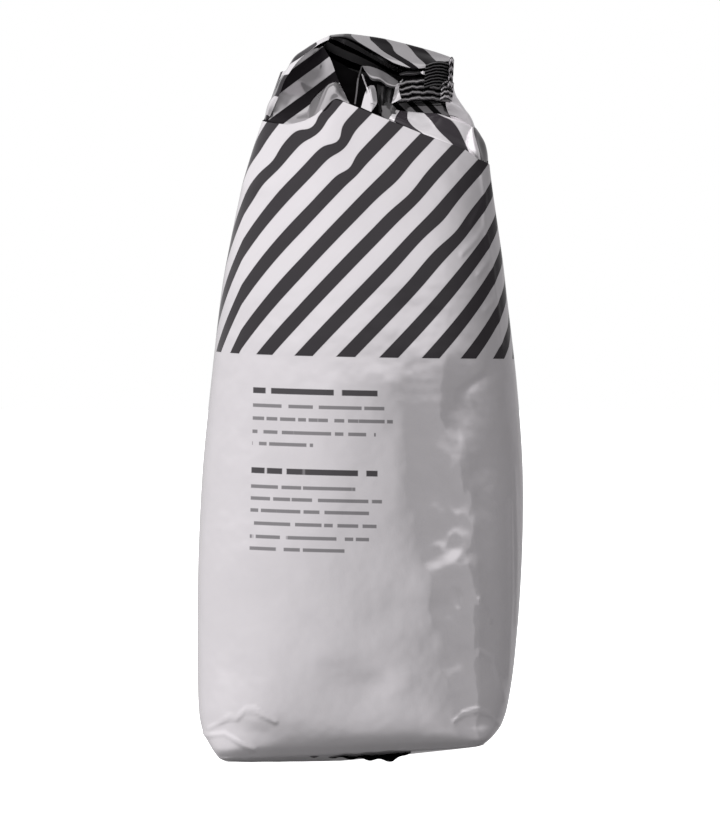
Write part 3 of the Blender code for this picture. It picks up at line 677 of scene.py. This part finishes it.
@dataclass
class Pocket:
    """What shows in the pocket between the left wall and the seal."""

    # A leaf of folded film under the flap, rows from the top down.
    leaf: Knots = (
        ((0.7, -2, 206.1, 0.7), (3, -2.4, 205.9, 0.7), (5.7, -2.8, 205, 0.7), (8.4, -3.4, 203.5, 0.7),
         (11.3, -4, 201.5, 0.7)),
        ((1, -3, 205.4, 0.7), (3.1, -3.6, 204.3, 0.7), (5.8, -4, 203.6, 0.7), (8.4, -4.4, 201.9, 0.7),
         (11.2, -4.8, 200.7, 0.7)),
        ((1.3, -3.6, 204.8, 0.7), (3.3, -4.8, 202.7, 0.7), (6, -5.2, 202.1, 0.7),
         (8.4, -5.4, 200.4, 0.7), (11, -5.4, 199.8, 0.7)),
        ((1.5, -2.6, 204.7, 0.7), (3.4, -4.2, 201.8, 0.7), (6.1, -4.4, 201.3, 0.7),
         (8.4, -4.6, 199.7, 0.7), (11, -4.8, 199.2, 0.7)),
    )
    # The pale facet where the gusset's tip catches the light, rows from the top down.
    facet: Knots = (
        ((2.4, -5.5, 199.8, 0.7), (3.1, -6, 200.1, 0.7), (4.2, -5.4, 200.2, 0.7)),
        ((1.6, -7, 198.1, 0.7), (3.2, -8, 198.3, 0.7), (4.9, -7, 198.1, 0.7)),
        ((1, -8.4, 196.2, 0.7), (3.2, -9.6, 196.1, 0.7), (5.1, -8.6, 196.2, 0.7)),
        ((0.5, -9.6, 194.2, 0.7), (3.2, -11, 193.9, 0.7), (4.9, -10, 194.4, 0.7)),
        ((0.3, -10, 193.5, 0.7), (3.1, -11.8, 192.2, 0.7), (3.4, -11.7, 192.2, 0.7)),
    )
    # The shaded end of the fold that comes out from under the seal, and the tip below it.
    fold_end: Knots = (
        ((6.4, -11, 194, 0.7), (8, -11.6, 194, 0.7), (9.8, -11, 194.1, 0.7)),
        ((6.6, -12.5, 192.6, 0.7), (8.3, -13.1, 192.6, 0.7), (10.3, -12, 192.7, 0.7)),
        ((6.9, -14, 190.8, 0.7), (8.7, -14.6, 190.8, 0.7), (10.9, -13.5, 190.8, 0.7)),
        ((8.3, -15.4, 189.5, 0.7), (9.5, -15.8, 189.3, 0.7), (11.1, -15, 189.6, 0.7)),
    )
    tuck: Knots = (
        ((8.3, -16.6, 189.8, 0.7), (9.2, -16.9, 189.7, 0.7), (10.2, -17, 189.3, 0.7)),
        ((9.3, -17.6, 189, 0.7), (10.1, -17.9, 188.8, 0.7), (11.2, -18, 188.1, 0.7)),
    )
    # A painted glint at its end, a small sheet of pale film, and the creased film that stands in the pocket, darkened
    # with painted shade.
    glint: Knots = (
        ((17.9, -9, 204.1, 0.7), (18.6, -9.2, 204.3, 0.7), (19.2, -9, 204.2, 0.7)),
        ((18.1, -9.6, 203.7, 0.7), (18.7, -9.8, 203.3, 0.7), (19.3, -9.4, 203.2, 0.7)),
    )
    inner_fold: Knots = (
        ((5.1, -1, 200.7, 0.7), (6.9, -3, 200, 0.7), (8.1, -1, 200.7, 0.7), (9.3, -3, 199.7, 0.7),
         (10.5, -1, 200.4, 0.7)),
        ((5.1, -2.5, 197.7, 0.7), (6.6, -5.5, 197.3, 0.7), (7.9, -2.5, 198.3, 0.7),
         (8.8, -5, 196.7, 0.7), (10, -3, 198, 0.7)),
        ((5.4, -5, 194.9, 0.7), (6.6, -7, 194.3, 0.7), (7.6, -4, 195.8, 0.7), (8.5, -6, 194.6, 0.7),
         (9.8, -4.5, 195.2, 0.7)),
        ((5.4, -8, 192.2, 0.7), (6.2, -9, 191.8, 0.7), (7.2, -6, 193.4, 0.7), (8, -7, 192.5, 0.7),
         (9.5, -6.5, 192.8, 0.7)),
    )
    # The film that runs from the leaf to the seal, close under the flap.
    collar: Knots = (
        ((11.6, -6, 203.5, 0.7), (13.1, -6.6, 204.2, 0.7), (15.5, -7.2, 204.5, 0.7),
         (17.9, -7.4, 204.5, 0.7)),
        ((12.2, -7, 203.1, 0.7), (13.7, -7.8, 203.5, 0.7), (15.8, -8.2, 203.7, 0.7),
         (18.2, -8.2, 203.9, 0.7)),
        ((13.1, -6.4, 202.9, 0.7), (14.6, -7.2, 202.8, 0.7), (16.4, -7.8, 203.2, 0.7),
         (18.5, -7.8, 203.3, 0.7)),
    )
    # Painted glints: thin strips of pale film along creases of the dark film, one of them dimmed: corners (x, y, z) of
    # each, in millimetres.
    painted_glint_lines: tuple[tuple[Row, ...], ...] = (
        ((0.6, -1, 206.1), (-0.1, -3, 203.9), (-0.6, -5, 201.8), (-1, -7.5, 198.1), (-1.5, -9.5, 194.5)),
        ((0.6, -4, 203.6), (1.3, -6, 201.4), (2.1, -8.6, 199.3), (2.8, -10.2, 197.2), (3.4, -11.6, 194.7), (4.3, -11, 194.3)),
    )
    painted_glint_width: float = 0.45

    def wall(self) -> bpy.types.Object:
        """Return the film at the back of the pocket, which main paints near black as shade."""
        rows = []
        for z, y in ((180, 0), (190, 2.5), (200, 3.5), (206, 4)):
            left = -20 + max(0, z - 195) * 0.9
            right = 33 - max(0, z - 185) * 0.42
            rows.append([(left + (right - left) * i / 7, y, z + (4 - i) * 0.9, -0.8) for i in range(8)])
        return folded_sheet("pocket_back", rows, 0.8, 0.4)

    def edge(self, index: int, line: Sequence[Row]) -> bpy.types.Object:
        """Return one painted glint as a narrow strip of pale film."""
        half = self.painted_glint_width / 2
        sides = [[(x + side * half, y, z, -0.3) for side in (-1, 0, 1)] for x, y, z in line]
        return folded_sheet(f"pocket_edge_{index}", sides, 0.3)

    def build(self) -> list[bpy.types.Object]:
        """Return everything in the pocket, and its back, which is painted dark as shade."""
        folds = [folded_sheet("pocket_leaf", self.leaf, 0.3), folded_sheet("pocket_facet", self.facet, 0.3, 0.2),
                 folded_sheet("fold_end", self.fold_end, 0.3, 0.2), folded_sheet("tuck", self.tuck, 0.3),
                 folded_sheet("collar", self.collar, 0.3, 0.3), folded_sheet("glint", self.glint, 0.3),
                 folded_sheet("inner_fold", self.inner_fold, 0.3, 0.6)]
        return folds + [self.edge(*item) for item in enumerate(self.painted_glint_lines, 1)] + [self.wall()]


# ---------------------------------------------------------------- the seal
@dataclass
class Seal:
    """The crimped seal, laid flat along the neck: rows of ribs, with painted shade in the gaps between them."""

    left: float = 0.0112
    right: float = 0.0272
    low: float = 0.1945
    high: float = 0.2012
    ribs: int = 4
    depth: float = 0.0016
    front: float = -0.0105
    # The pale corner that turns over the seal's left end, rows from the top down.
    corner: Knots = (
        ((10.7, -8, 200.2, 0.7), (11.8, -9, 201.1, 0.7), (12.9, -9.6, 201.9, 0.7)),
        ((10.3, -9, 198.4, 0.7), (10.9, -10, 198.8, 0.7), (11.6, -11, 199.4, 0.7)),
        ((9.9, -10, 196.6, 0.7), (11, -11.4, 196.8, 0.7), (11.9, -12, 197.1, 0.7)),
        ((9.4, -10.6, 194.6, 0.7), (10.8, -11.6, 195.2, 0.7), (12.3, -12, 196, 0.7)),
    )

    def ribbed(self, name: str, box: Row, ribs: int, depth: float, wave: float) -> bpy.types.Object:
        """Return a sheet with level ribs.

        Args:
            name: the piece's name.
            box: left, right, low, high and front edges, in metres.
            ribs: how many ribs.
            depth: how deep the gaps between them are, in metres.
            wave: how far the ribs wander up and down, in metres.

        Returns:
            The new piece.
        """
        left, right, low, high, front = box
        columns = np.linspace(0, 1, 140)
        rows = np.linspace(0, 1, 40 * ribs)
        over, up = np.meshgrid(columns, rows)
        part = np.mod(up * ribs, 1.0)
        profile = np.abs(np.cos(part * math.pi)) ** 2.4
        sway = np.sin(over * 21.0 + np.floor(up * ribs) * 1.3) * 0.6 + np.sin(over * 47.0 + 1.0) * 0.3
        x = left + (right - left) * over + (up - 0.5) * 0.0006
        z = low + (high - low) * up + wave * sway * np.sin(up * math.pi) ** 0.5
        z = z + 0.0010 * np.sin(over * math.pi)
        y = front + depth * profile + 0.0022 * over ** 2
        points = np.stack([x, y, z], axis=-1)
        # Painted shade: the gaps take a dark stripe's count, the rib tops a pale one.
        count = np.where(profile > 0.55, -0.8, -0.3)
        return film_mesh(name, points, print_place(count.astype(float)))

    def build(self) -> list[bpy.types.Object]:
        """Return the ribbed front of the seal and the finer end block behind it."""
        # The front and the end block get painted shade in main; the bright end and the side keep the open film.
        main = self.ribbed("seal_front", (self.left, self.right, self.low, self.high, self.front),
                           self.ribs, self.depth, 0.0003)
        bright = self.ribbed("seal_bright_end", (0.0240, 0.0277, self.low + 0.0006, self.high - 0.0004, -0.0110),
                             self.ribs, 0.0014, 0.0002)
        block = self.ribbed("seal_end", (0.0192, 0.0272, 0.1988, 0.2062, -0.0122), 8, 0.0006, 0.00008)
        side = self.ribbed("seal_side", (0.0263, 0.0277, 0.1985, 0.2075, -0.0126), 4, 0.0010, 0.0006)
        return [main, bright, block, side, folded_sheet("seal_corner", self.corner, 0.3)]


@dataclass
class Hem:
    """The crimped hem folded under the base, which shows below the front edge."""

    left: float = -0.0180
    right: float = 0.0150
    low: float = 0.0003
    high: float = 0.0036
    front: float = -0.0294
    pleats: int = 9

    def build(self) -> list[bpy.types.Object]:
        """Return the hem as one pleated strip."""
        over, up = np.meshgrid(np.linspace(0, 1, 180), np.linspace(0, 1, 16))
        pleat = np.sin(over * self.pleats * math.pi + 0.8 * np.sin(over * 11.0))
        x = self.left + (self.right - self.left) * over
        y = self.front + 0.0007 * pleat + 0.0045 * up + 0.0006 * np.sin(over * 5.0)
        ragged = 0.0016 * (1 - over) ** 1.5 + 0.0160 * np.maximum(over - 0.84, 0) + 0.0003 * (1 + np.sin(over * 37.0))
        z = self.low + (self.high - self.low) * up + ragged * (1 - up)
        points = np.stack([x, y, z], axis=-1)
        return [film_mesh("hem", points, print_place(np.full_like(over, -0.8)))]


# ---------------------------------------------------------------- node helpers
class Nodes:
    """A short way to add and join shader nodes in one tree."""

    def __init__(self, tree: bpy.types.NodeTree) -> None:
        """Keep the tree that the nodes are added to."""
        self.tree = tree

    def add(self, kind: str, **settings: object) -> bpy.types.Node:
        """Add a node and set its properties."""
        node = self.tree.nodes.new(kind)
        for name, value in settings.items():
            setattr(node, name, value)
        return node

    def put(self, socket: bpy.types.NodeSocket, value: object) -> None:
        """Join a socket to another socket, or set its value."""
        if isinstance(value, bpy.types.NodeSocket):
            self.tree.links.new(value, socket)
        else:
            socket.default_value = value

    def math(self, operation: str, *values: object) -> bpy.types.NodeSocket:
        """Return the result of a Math node on one to three values."""
        node = self.add("ShaderNodeMath", operation=operation)
        for socket, value in zip(node.inputs, values):
            self.put(socket, value)
        return node.outputs[0]

    def step(self, value: object, low: float, high: float) -> bpy.types.NodeSocket:
        """Return a smooth step of a value from 0 at low to 1 at high."""
        node = self.add("ShaderNodeMapRange", interpolation_type="SMOOTHSTEP")
        self.put(node.inputs["Value"], value)
        node.inputs["From Min"].default_value = low
        node.inputs["From Max"].default_value = high
        return node.outputs["Result"]

    def mix(self, share: object, first: object, second: object) -> bpy.types.NodeSocket:
        """Return a mix of two colours."""
        node = self.add("ShaderNodeMix", data_type="RGBA")
        self.put(node.inputs["Factor"], share)
        self.put(node.inputs["A"], first)
        self.put(node.inputs["B"], second)
        return node.outputs["Result"]

    def film_place(self) -> tuple[bpy.types.NodeSocket, bpy.types.NodeSocket]:
        """Return the film coordinates across and up, in metres."""
        film = self.add("ShaderNodeUVMap", uv_map="film")
        parts = self.add("ShaderNodeSeparateXYZ")
        self.put(parts.inputs[0], film.outputs[0])
        return parts.outputs["X"], parts.outputs["Y"]


def shader_group(name: str, inputs: dict[str, float], outputs: dict[str, str]) -> bpy.types.NodeTree:
    """Start a node group with number inputs and the named outputs.

    Args:
        name: the group's name.
        inputs: each input's name and first value.
        outputs: each output's name and kind, such as NodeSocketFloat.

    Returns:
        The empty group.
    """
    tree = bpy.data.node_groups.new(name, "ShaderNodeTree")
    for label, value in inputs.items():
        socket = tree.interface.new_socket(name=label, in_out="INPUT", socket_type="NodeSocketFloat")
        socket.default_value = value
    for label, kind in outputs.items():
        tree.interface.new_socket(name=label, in_out="OUTPUT", socket_type=kind)
    return tree


def stripes_group() -> bpy.types.NodeTree:
    """Return the group that marks the dark diagonal stripes of the printed film."""
    tree = shader_group("diagonal_stripes", {"Pitch": STRIPE_PITCH, "Rise": STRIPE_RISE, "Share": STRIPE_SHARE,
                                             "Floor": STRIPE_FLOOR}, {"Stripe": "NodeSocketFloat"})
    nodes = Nodes(tree)
    given = nodes.add("NodeGroupInput")
    across, up = nodes.film_place()
    drop = nodes.math("SUBTRACT", STRIPE_ANCHOR, up)
    run = nodes.math("MULTIPLY_ADD", drop, given.outputs["Rise"], across)
    count = nodes.math("DIVIDE", run, given.outputs["Pitch"])
    part = nodes.math("FRACT", nodes.math("ADD", count, 40.0))
    middle = nodes.math("MULTIPLY", given.outputs["Share"], 0.5)
    off = nodes.math("ABSOLUTE", nodes.math("SUBTRACT", part, middle))
    inside = nodes.step(nodes.math("SUBTRACT", off, middle), 0.012, -0.012)
    wrapped = nodes.step(nodes.math("SUBTRACT", part, 1.0), -0.012, 0.012)
    floor = nodes.math("MULTIPLY_ADD", across, PRINT_TILT, given.outputs["Floor"])
    above = nodes.step(nodes.math("SUBTRACT", up, floor), -0.00012, 0.00012)
    result = nodes.add("NodeGroupOutput")
    nodes.put(result.inputs["Stripe"], nodes.math("MULTIPLY", nodes.math("MAXIMUM", inside, wrapped), above))
    return tree


@dataclass(frozen=True)
class PrintBars:
    """Plain bars in place of the small print: height of each line and where it ends."""

    left: float = -0.0310
    heading_right: float = 0.0075
    headings: tuple[float, ...] = (0.1093, 0.0858)
    heading_half: float = 0.00085
    line_half: float = 0.00052
    lines: tuple[tuple[float, float], ...] = (
        (0.1049, 0.0095), (0.1011, 0.0120), (0.0972, 0.0070), (0.0937, -0.0115), (0.0811, 0.0010),
        (0.0776, 0.0088), (0.0741, 0.0050), (0.0703, 0.0072), (0.0664, 0.0050), (0.0629, -0.0022),
    )

    def group(self) -> bpy.types.NodeTree:
        """Return the group that marks heading bars and line bars."""
        tree = shader_group("print_bars", {}, {"Heading": "NodeSocketFloat", "Line": "NodeSocketFloat"})
        nodes = Nodes(tree)
        across, up = nodes.film_place()
        level = nodes.math("MULTIPLY_ADD", across, -PRINT_TILT, up)
        result = nodes.add("NodeGroupOutput")
        heading = self.bar(nodes, across, level, self.headings[0], self.heading_right,
                           self.heading_half, 170.0)
        second = self.bar(nodes, across, level, self.headings[1], self.heading_right,
                          self.heading_half, 170.0)
        nodes.put(result.inputs["Heading"], nodes.math("MAXIMUM", heading, second))
        total = 0.0
        for height, right in self.lines:
            total = nodes.math("MAXIMUM", total, self.bar(nodes, across, level, height, right,
                                                             self.line_half, 300.0))
        nodes.put(result.inputs["Line"], total)
        return tree

    def bar(self, nodes: Nodes, across: object, level: object, height: float, right: float, thick: float,
            words: float) -> bpy.types.NodeSocket:
        """Return one line of dashes.

        Args:
            nodes: where the nodes are added.
            across: place across the film.
            level: place up the film, with the print's tilt taken out.
            height: the line's height.
            right: the line's right end.
            thick: half the height of the dashes.
            words: how many dashes there are in a metre, about.

        Returns:
            The mask.
        """
        off = nodes.math("ABSOLUTE", nodes.math("SUBTRACT", level, height))
        row = nodes.step(off, thick + 0.00012, thick - 0.00012)
        middle = (self.left + right) / 2
        half = (right - self.left) / 2
        along = nodes.math("ABSOLUTE", nodes.math("SUBTRACT", across, middle))
        ends = nodes.step(along, half + 0.00015, half - 0.00015)
        wave = nodes.add("ShaderNodeTexNoise", noise_dimensions="1D")
        wave.inputs["Scale"].default_value = words
        wave.inputs["Detail"].default_value = 1.0
        nodes.put(wave.inputs["W"], nodes.math("ADD", across, height * 31.0))
        gaps = nodes.step(wave.outputs["Fac"], 0.36, 0.40)
        return nodes.math("MULTIPLY", nodes.math("MULTIPLY", row, ends), gaps)


class PaintedLight(Enum):
    """Painted light and shade: copies of the film whose colours are scaled, lighter where light falls full and darker
    where folds lie in shade.
    """

    LIT = 1.3
    OPEN = 1.0
    SHADE = 0.70
    HALF = 0.60
    FOLD = 0.18
    CRIMP_SHADE = 0.45
    DEEP_SHADE = 0.12


@dataclass(frozen=True)
class ShadeFinish:
    """Painted shade for the back of the pocket: a near-black finish in place of the film there."""

    name: str = "pocket_painted_shade"
    # The near-black colour is painted shade, with a faint noise in it.
    dark: Colour = (0.0012, 0.0010, 0.0012, 1.0)

    def material(self) -> bpy.types.Material:
        """Return the pocket's painted-shade material."""
        material = bpy.data.materials.new(self.name)
        material.use_nodes = True
        nodes = Nodes(material.node_tree)
        shader = material.node_tree.nodes["Principled BSDF"]
        cloud = nodes.add("ShaderNodeTexNoise")
        cloud.inputs["Scale"].default_value = 260.0
        nodes.put(shader.inputs["Base Color"], nodes.mix(cloud.outputs["Fac"], self.dark, (0.003, 0.0027, 0.003, 1.0)))
        shader.inputs["Roughness"].default_value = 0.30
        shader.inputs["Specular IOR Level"].default_value = 0.03
        return material


@dataclass(frozen=True)
class FilmFinish:
    """Satin light-grey film with dark stripes and greyed print."""

    name: str = "film"
    pale: Colour = (0.74, 0.715, 0.735, 1.0)
    dark: Colour = (0.022, 0.019, 0.022, 1.0)
    heading: Colour = (0.08, 0.075, 0.08, 1.0)
    line: Colour = (0.26, 0.25, 0.26, 1.0)
    roughness: float = 0.055
    metallic: float = 0.65
    gloss: float = 0.35
    # The shaded copies take this lower index, which dims their reflection as painted shade.
    shaded_copy_ior: float = 1.15
    tone: PaintedLight = PaintedLight.OPEN

    def material(self) -> bpy.types.Material:
        """Return the film's material."""
        material = bpy.data.materials.new(f"{self.name}_{self.tone.name.lower()}")
        material.use_nodes = True
        nodes = Nodes(material.node_tree)
        shader = material.node_tree.nodes["Principled BSDF"]
        stripes = nodes.add("ShaderNodeGroup", node_tree=stripes_group())
        bars = nodes.add("ShaderNodeGroup", node_tree=PrintBars().group())
        cloud = nodes.add("ShaderNodeTexNoise")
        cloud.inputs["Scale"].default_value = 60.0
        cloud.inputs["Detail"].default_value = 4.0
        object_place = nodes.add("ShaderNodeTexCoord")
        nodes.put(cloud.inputs["Vector"], object_place.outputs["Object"])
        shade = nodes.step(cloud.outputs["Fac"], 0.1, 0.9)
        # Painted light and shade: the pale colour is scaled by the level, the dark stripes by its square.
        pale = tuple(value * self.tone.value for value in self.pale[:3]) + (1.0,)
        dark = tuple(value * self.tone.value ** 2 for value in self.dark[:3]) + (1.0,)
        base = nodes.mix(shade, pale, tuple(value * 0.95 for value in pale[:3]) + (1.0,))
        colour = nodes.mix(bars.outputs["Line"], base, self.line)
        colour = nodes.mix(bars.outputs["Heading"], colour, self.heading)
        colour = nodes.mix(stripes.outputs["Stripe"], colour, dark)
        nodes.put(shader.inputs["Base Color"], colour)
        rough = nodes.math("MULTIPLY_ADD", shade, 0.06, self.roughness - 0.03)
        nodes.put(shader.inputs["Roughness"], nodes.math("MULTIPLY_ADD", stripes.outputs["Stripe"], 0.06, rough))
        metal = nodes.math("MULTIPLY_ADD", stripes.outputs["Stripe"], -self.metallic, self.metallic)
        nodes.put(shader.inputs["Metallic"], metal)
        fine = nodes.add("ShaderNodeTexNoise")
        fine.inputs["Scale"].default_value = 45.0
        fine.inputs["Detail"].default_value = 3.0
        nodes.put(fine.inputs["Vector"], object_place.outputs["Object"])
        bump = nodes.add("ShaderNodeBump")
        bump.inputs["Strength"].default_value = 0.28
        bump.inputs["Distance"].default_value = 0.0030 if self.tone is PaintedLight.OPEN else 0.0006
        nodes.put(bump.inputs["Height"], fine.outputs["Fac"])
        nodes.put(shader.inputs["Normal"], bump.outputs["Normal"])
        shader.inputs["Specular IOR Level"].default_value = self.gloss
        shader.inputs["IOR"].default_value = 1.5 if self.tone.value >= 1.0 else self.shaded_copy_ior
        return material


# ---------------------------------------------------------------- the studio
@dataclass
class Studio:
    """A pale floor, soft lights and the camera."""

    distance: float = 1.5
    rise_deg: float = 2.0
    aim_height: float = 0.1022
    reach: float = 5000.0
    frame_height: float = 826.0
    # Brightness of the surroundings by angle from the front, to the right.
    surroundings: tuple[tuple[float, float], ...] = (
        (-180.0, 0.50), (180.0, 0.50), (-120.0, 0.78), (-50.0, 0.78), (-26.0, 0.76), (-12.0, 0.65), (0.0, 0.53),
        (10.0, 0.42), (22.0, 0.22), (53.0, 0.33), (55.0, 0.20), (110.0, 0.20), (150.0, 0.40),
    )

    def camera(self) -> None:
        """Place the camera in front of the bag, a little above its middle."""
        data = bpy.data.cameras.new("camera")
        data.sensor_fit = "VERTICAL"
        data.sensor_height = 36.0
        data.lens = 36.0 * self.reach / self.frame_height
        data.clip_start = 0.05
        camera = bpy.data.objects.new("camera", data)
        bpy.context.scene.collection.objects.link(camera)
        rise = math.radians(self.rise_deg)
        aim = Vector((0.0, 0.0, self.aim_height))
        camera.location = aim + self.distance * Vector((0.0, -math.cos(rise), math.sin(rise)))
        camera.rotation_euler = (aim - camera.location).to_track_quat("-Z", "Y").to_euler()
        bpy.context.scene.camera = camera

    def floor(self) -> None:
        """Lay the pale floor."""
        mesh = bpy.data.meshes.new("floor")
        size = 3.0
        mesh.from_pydata([(-size, -size, 0), (size, -size, 0), (size, size, 0), (-size, size, 0)], [],
                         [(0, 1, 2, 3)])
        floor = bpy.data.objects.new("floor", mesh)
        bpy.context.scene.collection.objects.link(floor)
        material = bpy.data.materials.new("floor")
        material.use_nodes = True
        shader = material.node_tree.nodes["Principled BSDF"]
        shader.inputs["Roughness"].default_value = 0.8
        nodes = Nodes(material.node_tree)
        path = nodes.add("ShaderNodeLightPath")
        seen = path.outputs["Is Camera Ray"]
        nodes.put(shader.inputs["Base Color"], nodes.mix(seen, (0.26, 0.26, 0.26, 1.0), (0.8, 0.8, 0.8, 1.0)))
        shader.inputs["Emission Color"].default_value = (1.0, 1.0, 1.0, 1.0)
        nodes.put(shader.inputs["Emission Strength"], nodes.math("MULTIPLY", seen, 1.2))
        clear = nodes.add("ShaderNodeBsdfTransparent")
        blend = nodes.add("ShaderNodeMixShader")
        nodes.put(blend.inputs[0], path.outputs["Is Glossy Ray"])
        nodes.put(blend.inputs[1], shader.outputs[0])
        nodes.put(blend.inputs[2], clear.outputs[0])
        nodes.put(material.node_tree.nodes["Material Output"].inputs["Surface"], blend.outputs[0])
        mesh.materials.append(material)

    def panel(self, name: str, place: Point, size: tuple[float, float], power: float) -> None:
        """Hang one soft light that looks at the bag."""
        data = bpy.data.lights.new(name, "AREA")
        data.shape = "RECTANGLE"
        data.size = size[0]
        data.size_y = size[1]
        data.energy = power
        light = bpy.data.objects.new(name, data)
        bpy.context.scene.collection.objects.link(light)
        light.location = place
        aim = Vector((0.0, 0.0, self.aim_height))
        light.rotation_euler = (aim - Vector(place)).to_track_quat("-Z", "Y").to_euler()
        light.visible_glossy = False

    def sky(self) -> None:
        """Fill the surroundings with soft light: bright in front and to the left, dimmer to the right."""
        world = bpy.data.worlds.new("studio")
        bpy.context.scene.world = world
        world.use_nodes = True
        nodes = Nodes(world.node_tree)
        background = world.node_tree.nodes["Background"]
        way = nodes.add("ShaderNodeTexCoord")
        parts = nodes.add("ShaderNodeSeparateXYZ")
        nodes.put(parts.inputs[0], way.outputs["Generated"])
        back = nodes.math("MULTIPLY", parts.outputs["Y"], -1.0)
        turn = nodes.math("ARCTAN2", parts.outputs["X"], back)
        ramp = nodes.add("ShaderNodeValToRGB")
        nodes.put(ramp.inputs["Fac"], nodes.math("MULTIPLY_ADD", turn, 0.5 / math.pi, 0.5))
        stops = ramp.color_ramp.elements
        for index, (degrees, bright) in enumerate(self.surroundings):
            place = degrees / 360.0 + 0.5
            stop = stops[index] if index < 2 else stops.new(place)
            stop.position = place
            stop.color = (bright, bright * 0.985, bright, 1.0)
        low = nodes.step(parts.outputs["Z"], -0.80, -0.12)
        glow = nodes.mix(low, (0.12, 0.12, 0.12, 1.0), ramp.outputs["Color"])
        bright_front = nodes.math("MULTIPLY", nodes.step(parts.outputs["Z"], 0.02, 0.26), nodes.step(turn, 1.7, 0.6))
        glow = nodes.mix(nodes.math("MULTIPLY", bright_front, 0.80), glow, (1.0, 0.985, 1.0, 1.0))
        over = nodes.step(parts.outputs["Z"], 0.84, 0.93)
        glow = nodes.mix(over, glow, (1.0, 1.0, 1.0, 1.0))
        path = nodes.add("ShaderNodeLightPath")
        seen = nodes.mix(path.outputs["Is Camera Ray"], glow, (1.0, 1.0, 1.0, 1.0))
        nodes.put(background.inputs["Color"], seen)
        background.inputs["Strength"].default_value = 1.0

    def build(self) -> None:
        """Set up floor, lights, surroundings and camera."""
        bpy.context.scene.view_settings.view_transform = "Standard"
        self.floor()
        self.sky()
        self.panel("key", (-1.10, -1.05, 1.45), (1.1, 1.1), 32.0)
        self.panel("fill", (0.3, -1.8, 0.9), (0.9, 0.9), 3.0)
        self.camera()


def main() -> None:
    """Build the bag's pieces, dress them and light them."""
    logging.basicConfig(level=logging.INFO)
    # One copy of the film for each level of painted light and shade; the lit copy is less metallic.
    finishes = {tone: FilmFinish(tone=tone, metallic=0.40 if tone is PaintedLight.LIT else 0.65).material()
                for tone in PaintedLight}
    # Painted light and shade for each piece: darker copies where folds lie in shade, the lit copy on the shoulder, the
    # right gusset and the pale film beside the seal; the rest keep the open film.
    painted_light_of_piece = {"under_flap": PaintedLight.DEEP_SHADE, "neck": PaintedLight.FOLD, "fold_end": PaintedLight.FOLD, "pocket_leaf": PaintedLight.HALF,
             "collar": PaintedLight.FOLD, "seal_front": PaintedLight.CRIMP_SHADE, "seal_end": PaintedLight.DEEP_SHADE, "inner_fold": PaintedLight.DEEP_SHADE,
             "pocket_edge_1": PaintedLight.FOLD, "top_flap": PaintedLight.HALF, "left_wall": PaintedLight.SHADE,
             "left_roll": PaintedLight.HALF, "hem": PaintedLight.FOLD, "shoulder": PaintedLight.LIT,
             "right_gusset": PaintedLight.LIT, "pale_neck_film": PaintedLight.LIT}
    # Near-black painted shade for the back of the pocket.
    pocket_shade = ShadeFinish().material()
    trunk = Trunk()
    pieces = [trunk.build(), trunk.back()] + BackSeam().build(trunk)
    for part in (LeftFold(), TopFlap(), Shoulder(), Pocket(), Seal(), Hem()):
        pieces += part.build()
    for piece in pieces:
        film = finishes[painted_light_of_piece.get(piece.name, PaintedLight.OPEN)]
        piece.data.materials.append(pocket_shade if piece.name == "pocket_back" else film)
        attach(piece, BODY)
        LOG.info("piece %s: %d faces", piece.name, len(piece.data.polygons))
    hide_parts(NODE)
    Studio().build()
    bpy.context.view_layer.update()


if __name__ == "__main__":
    main()
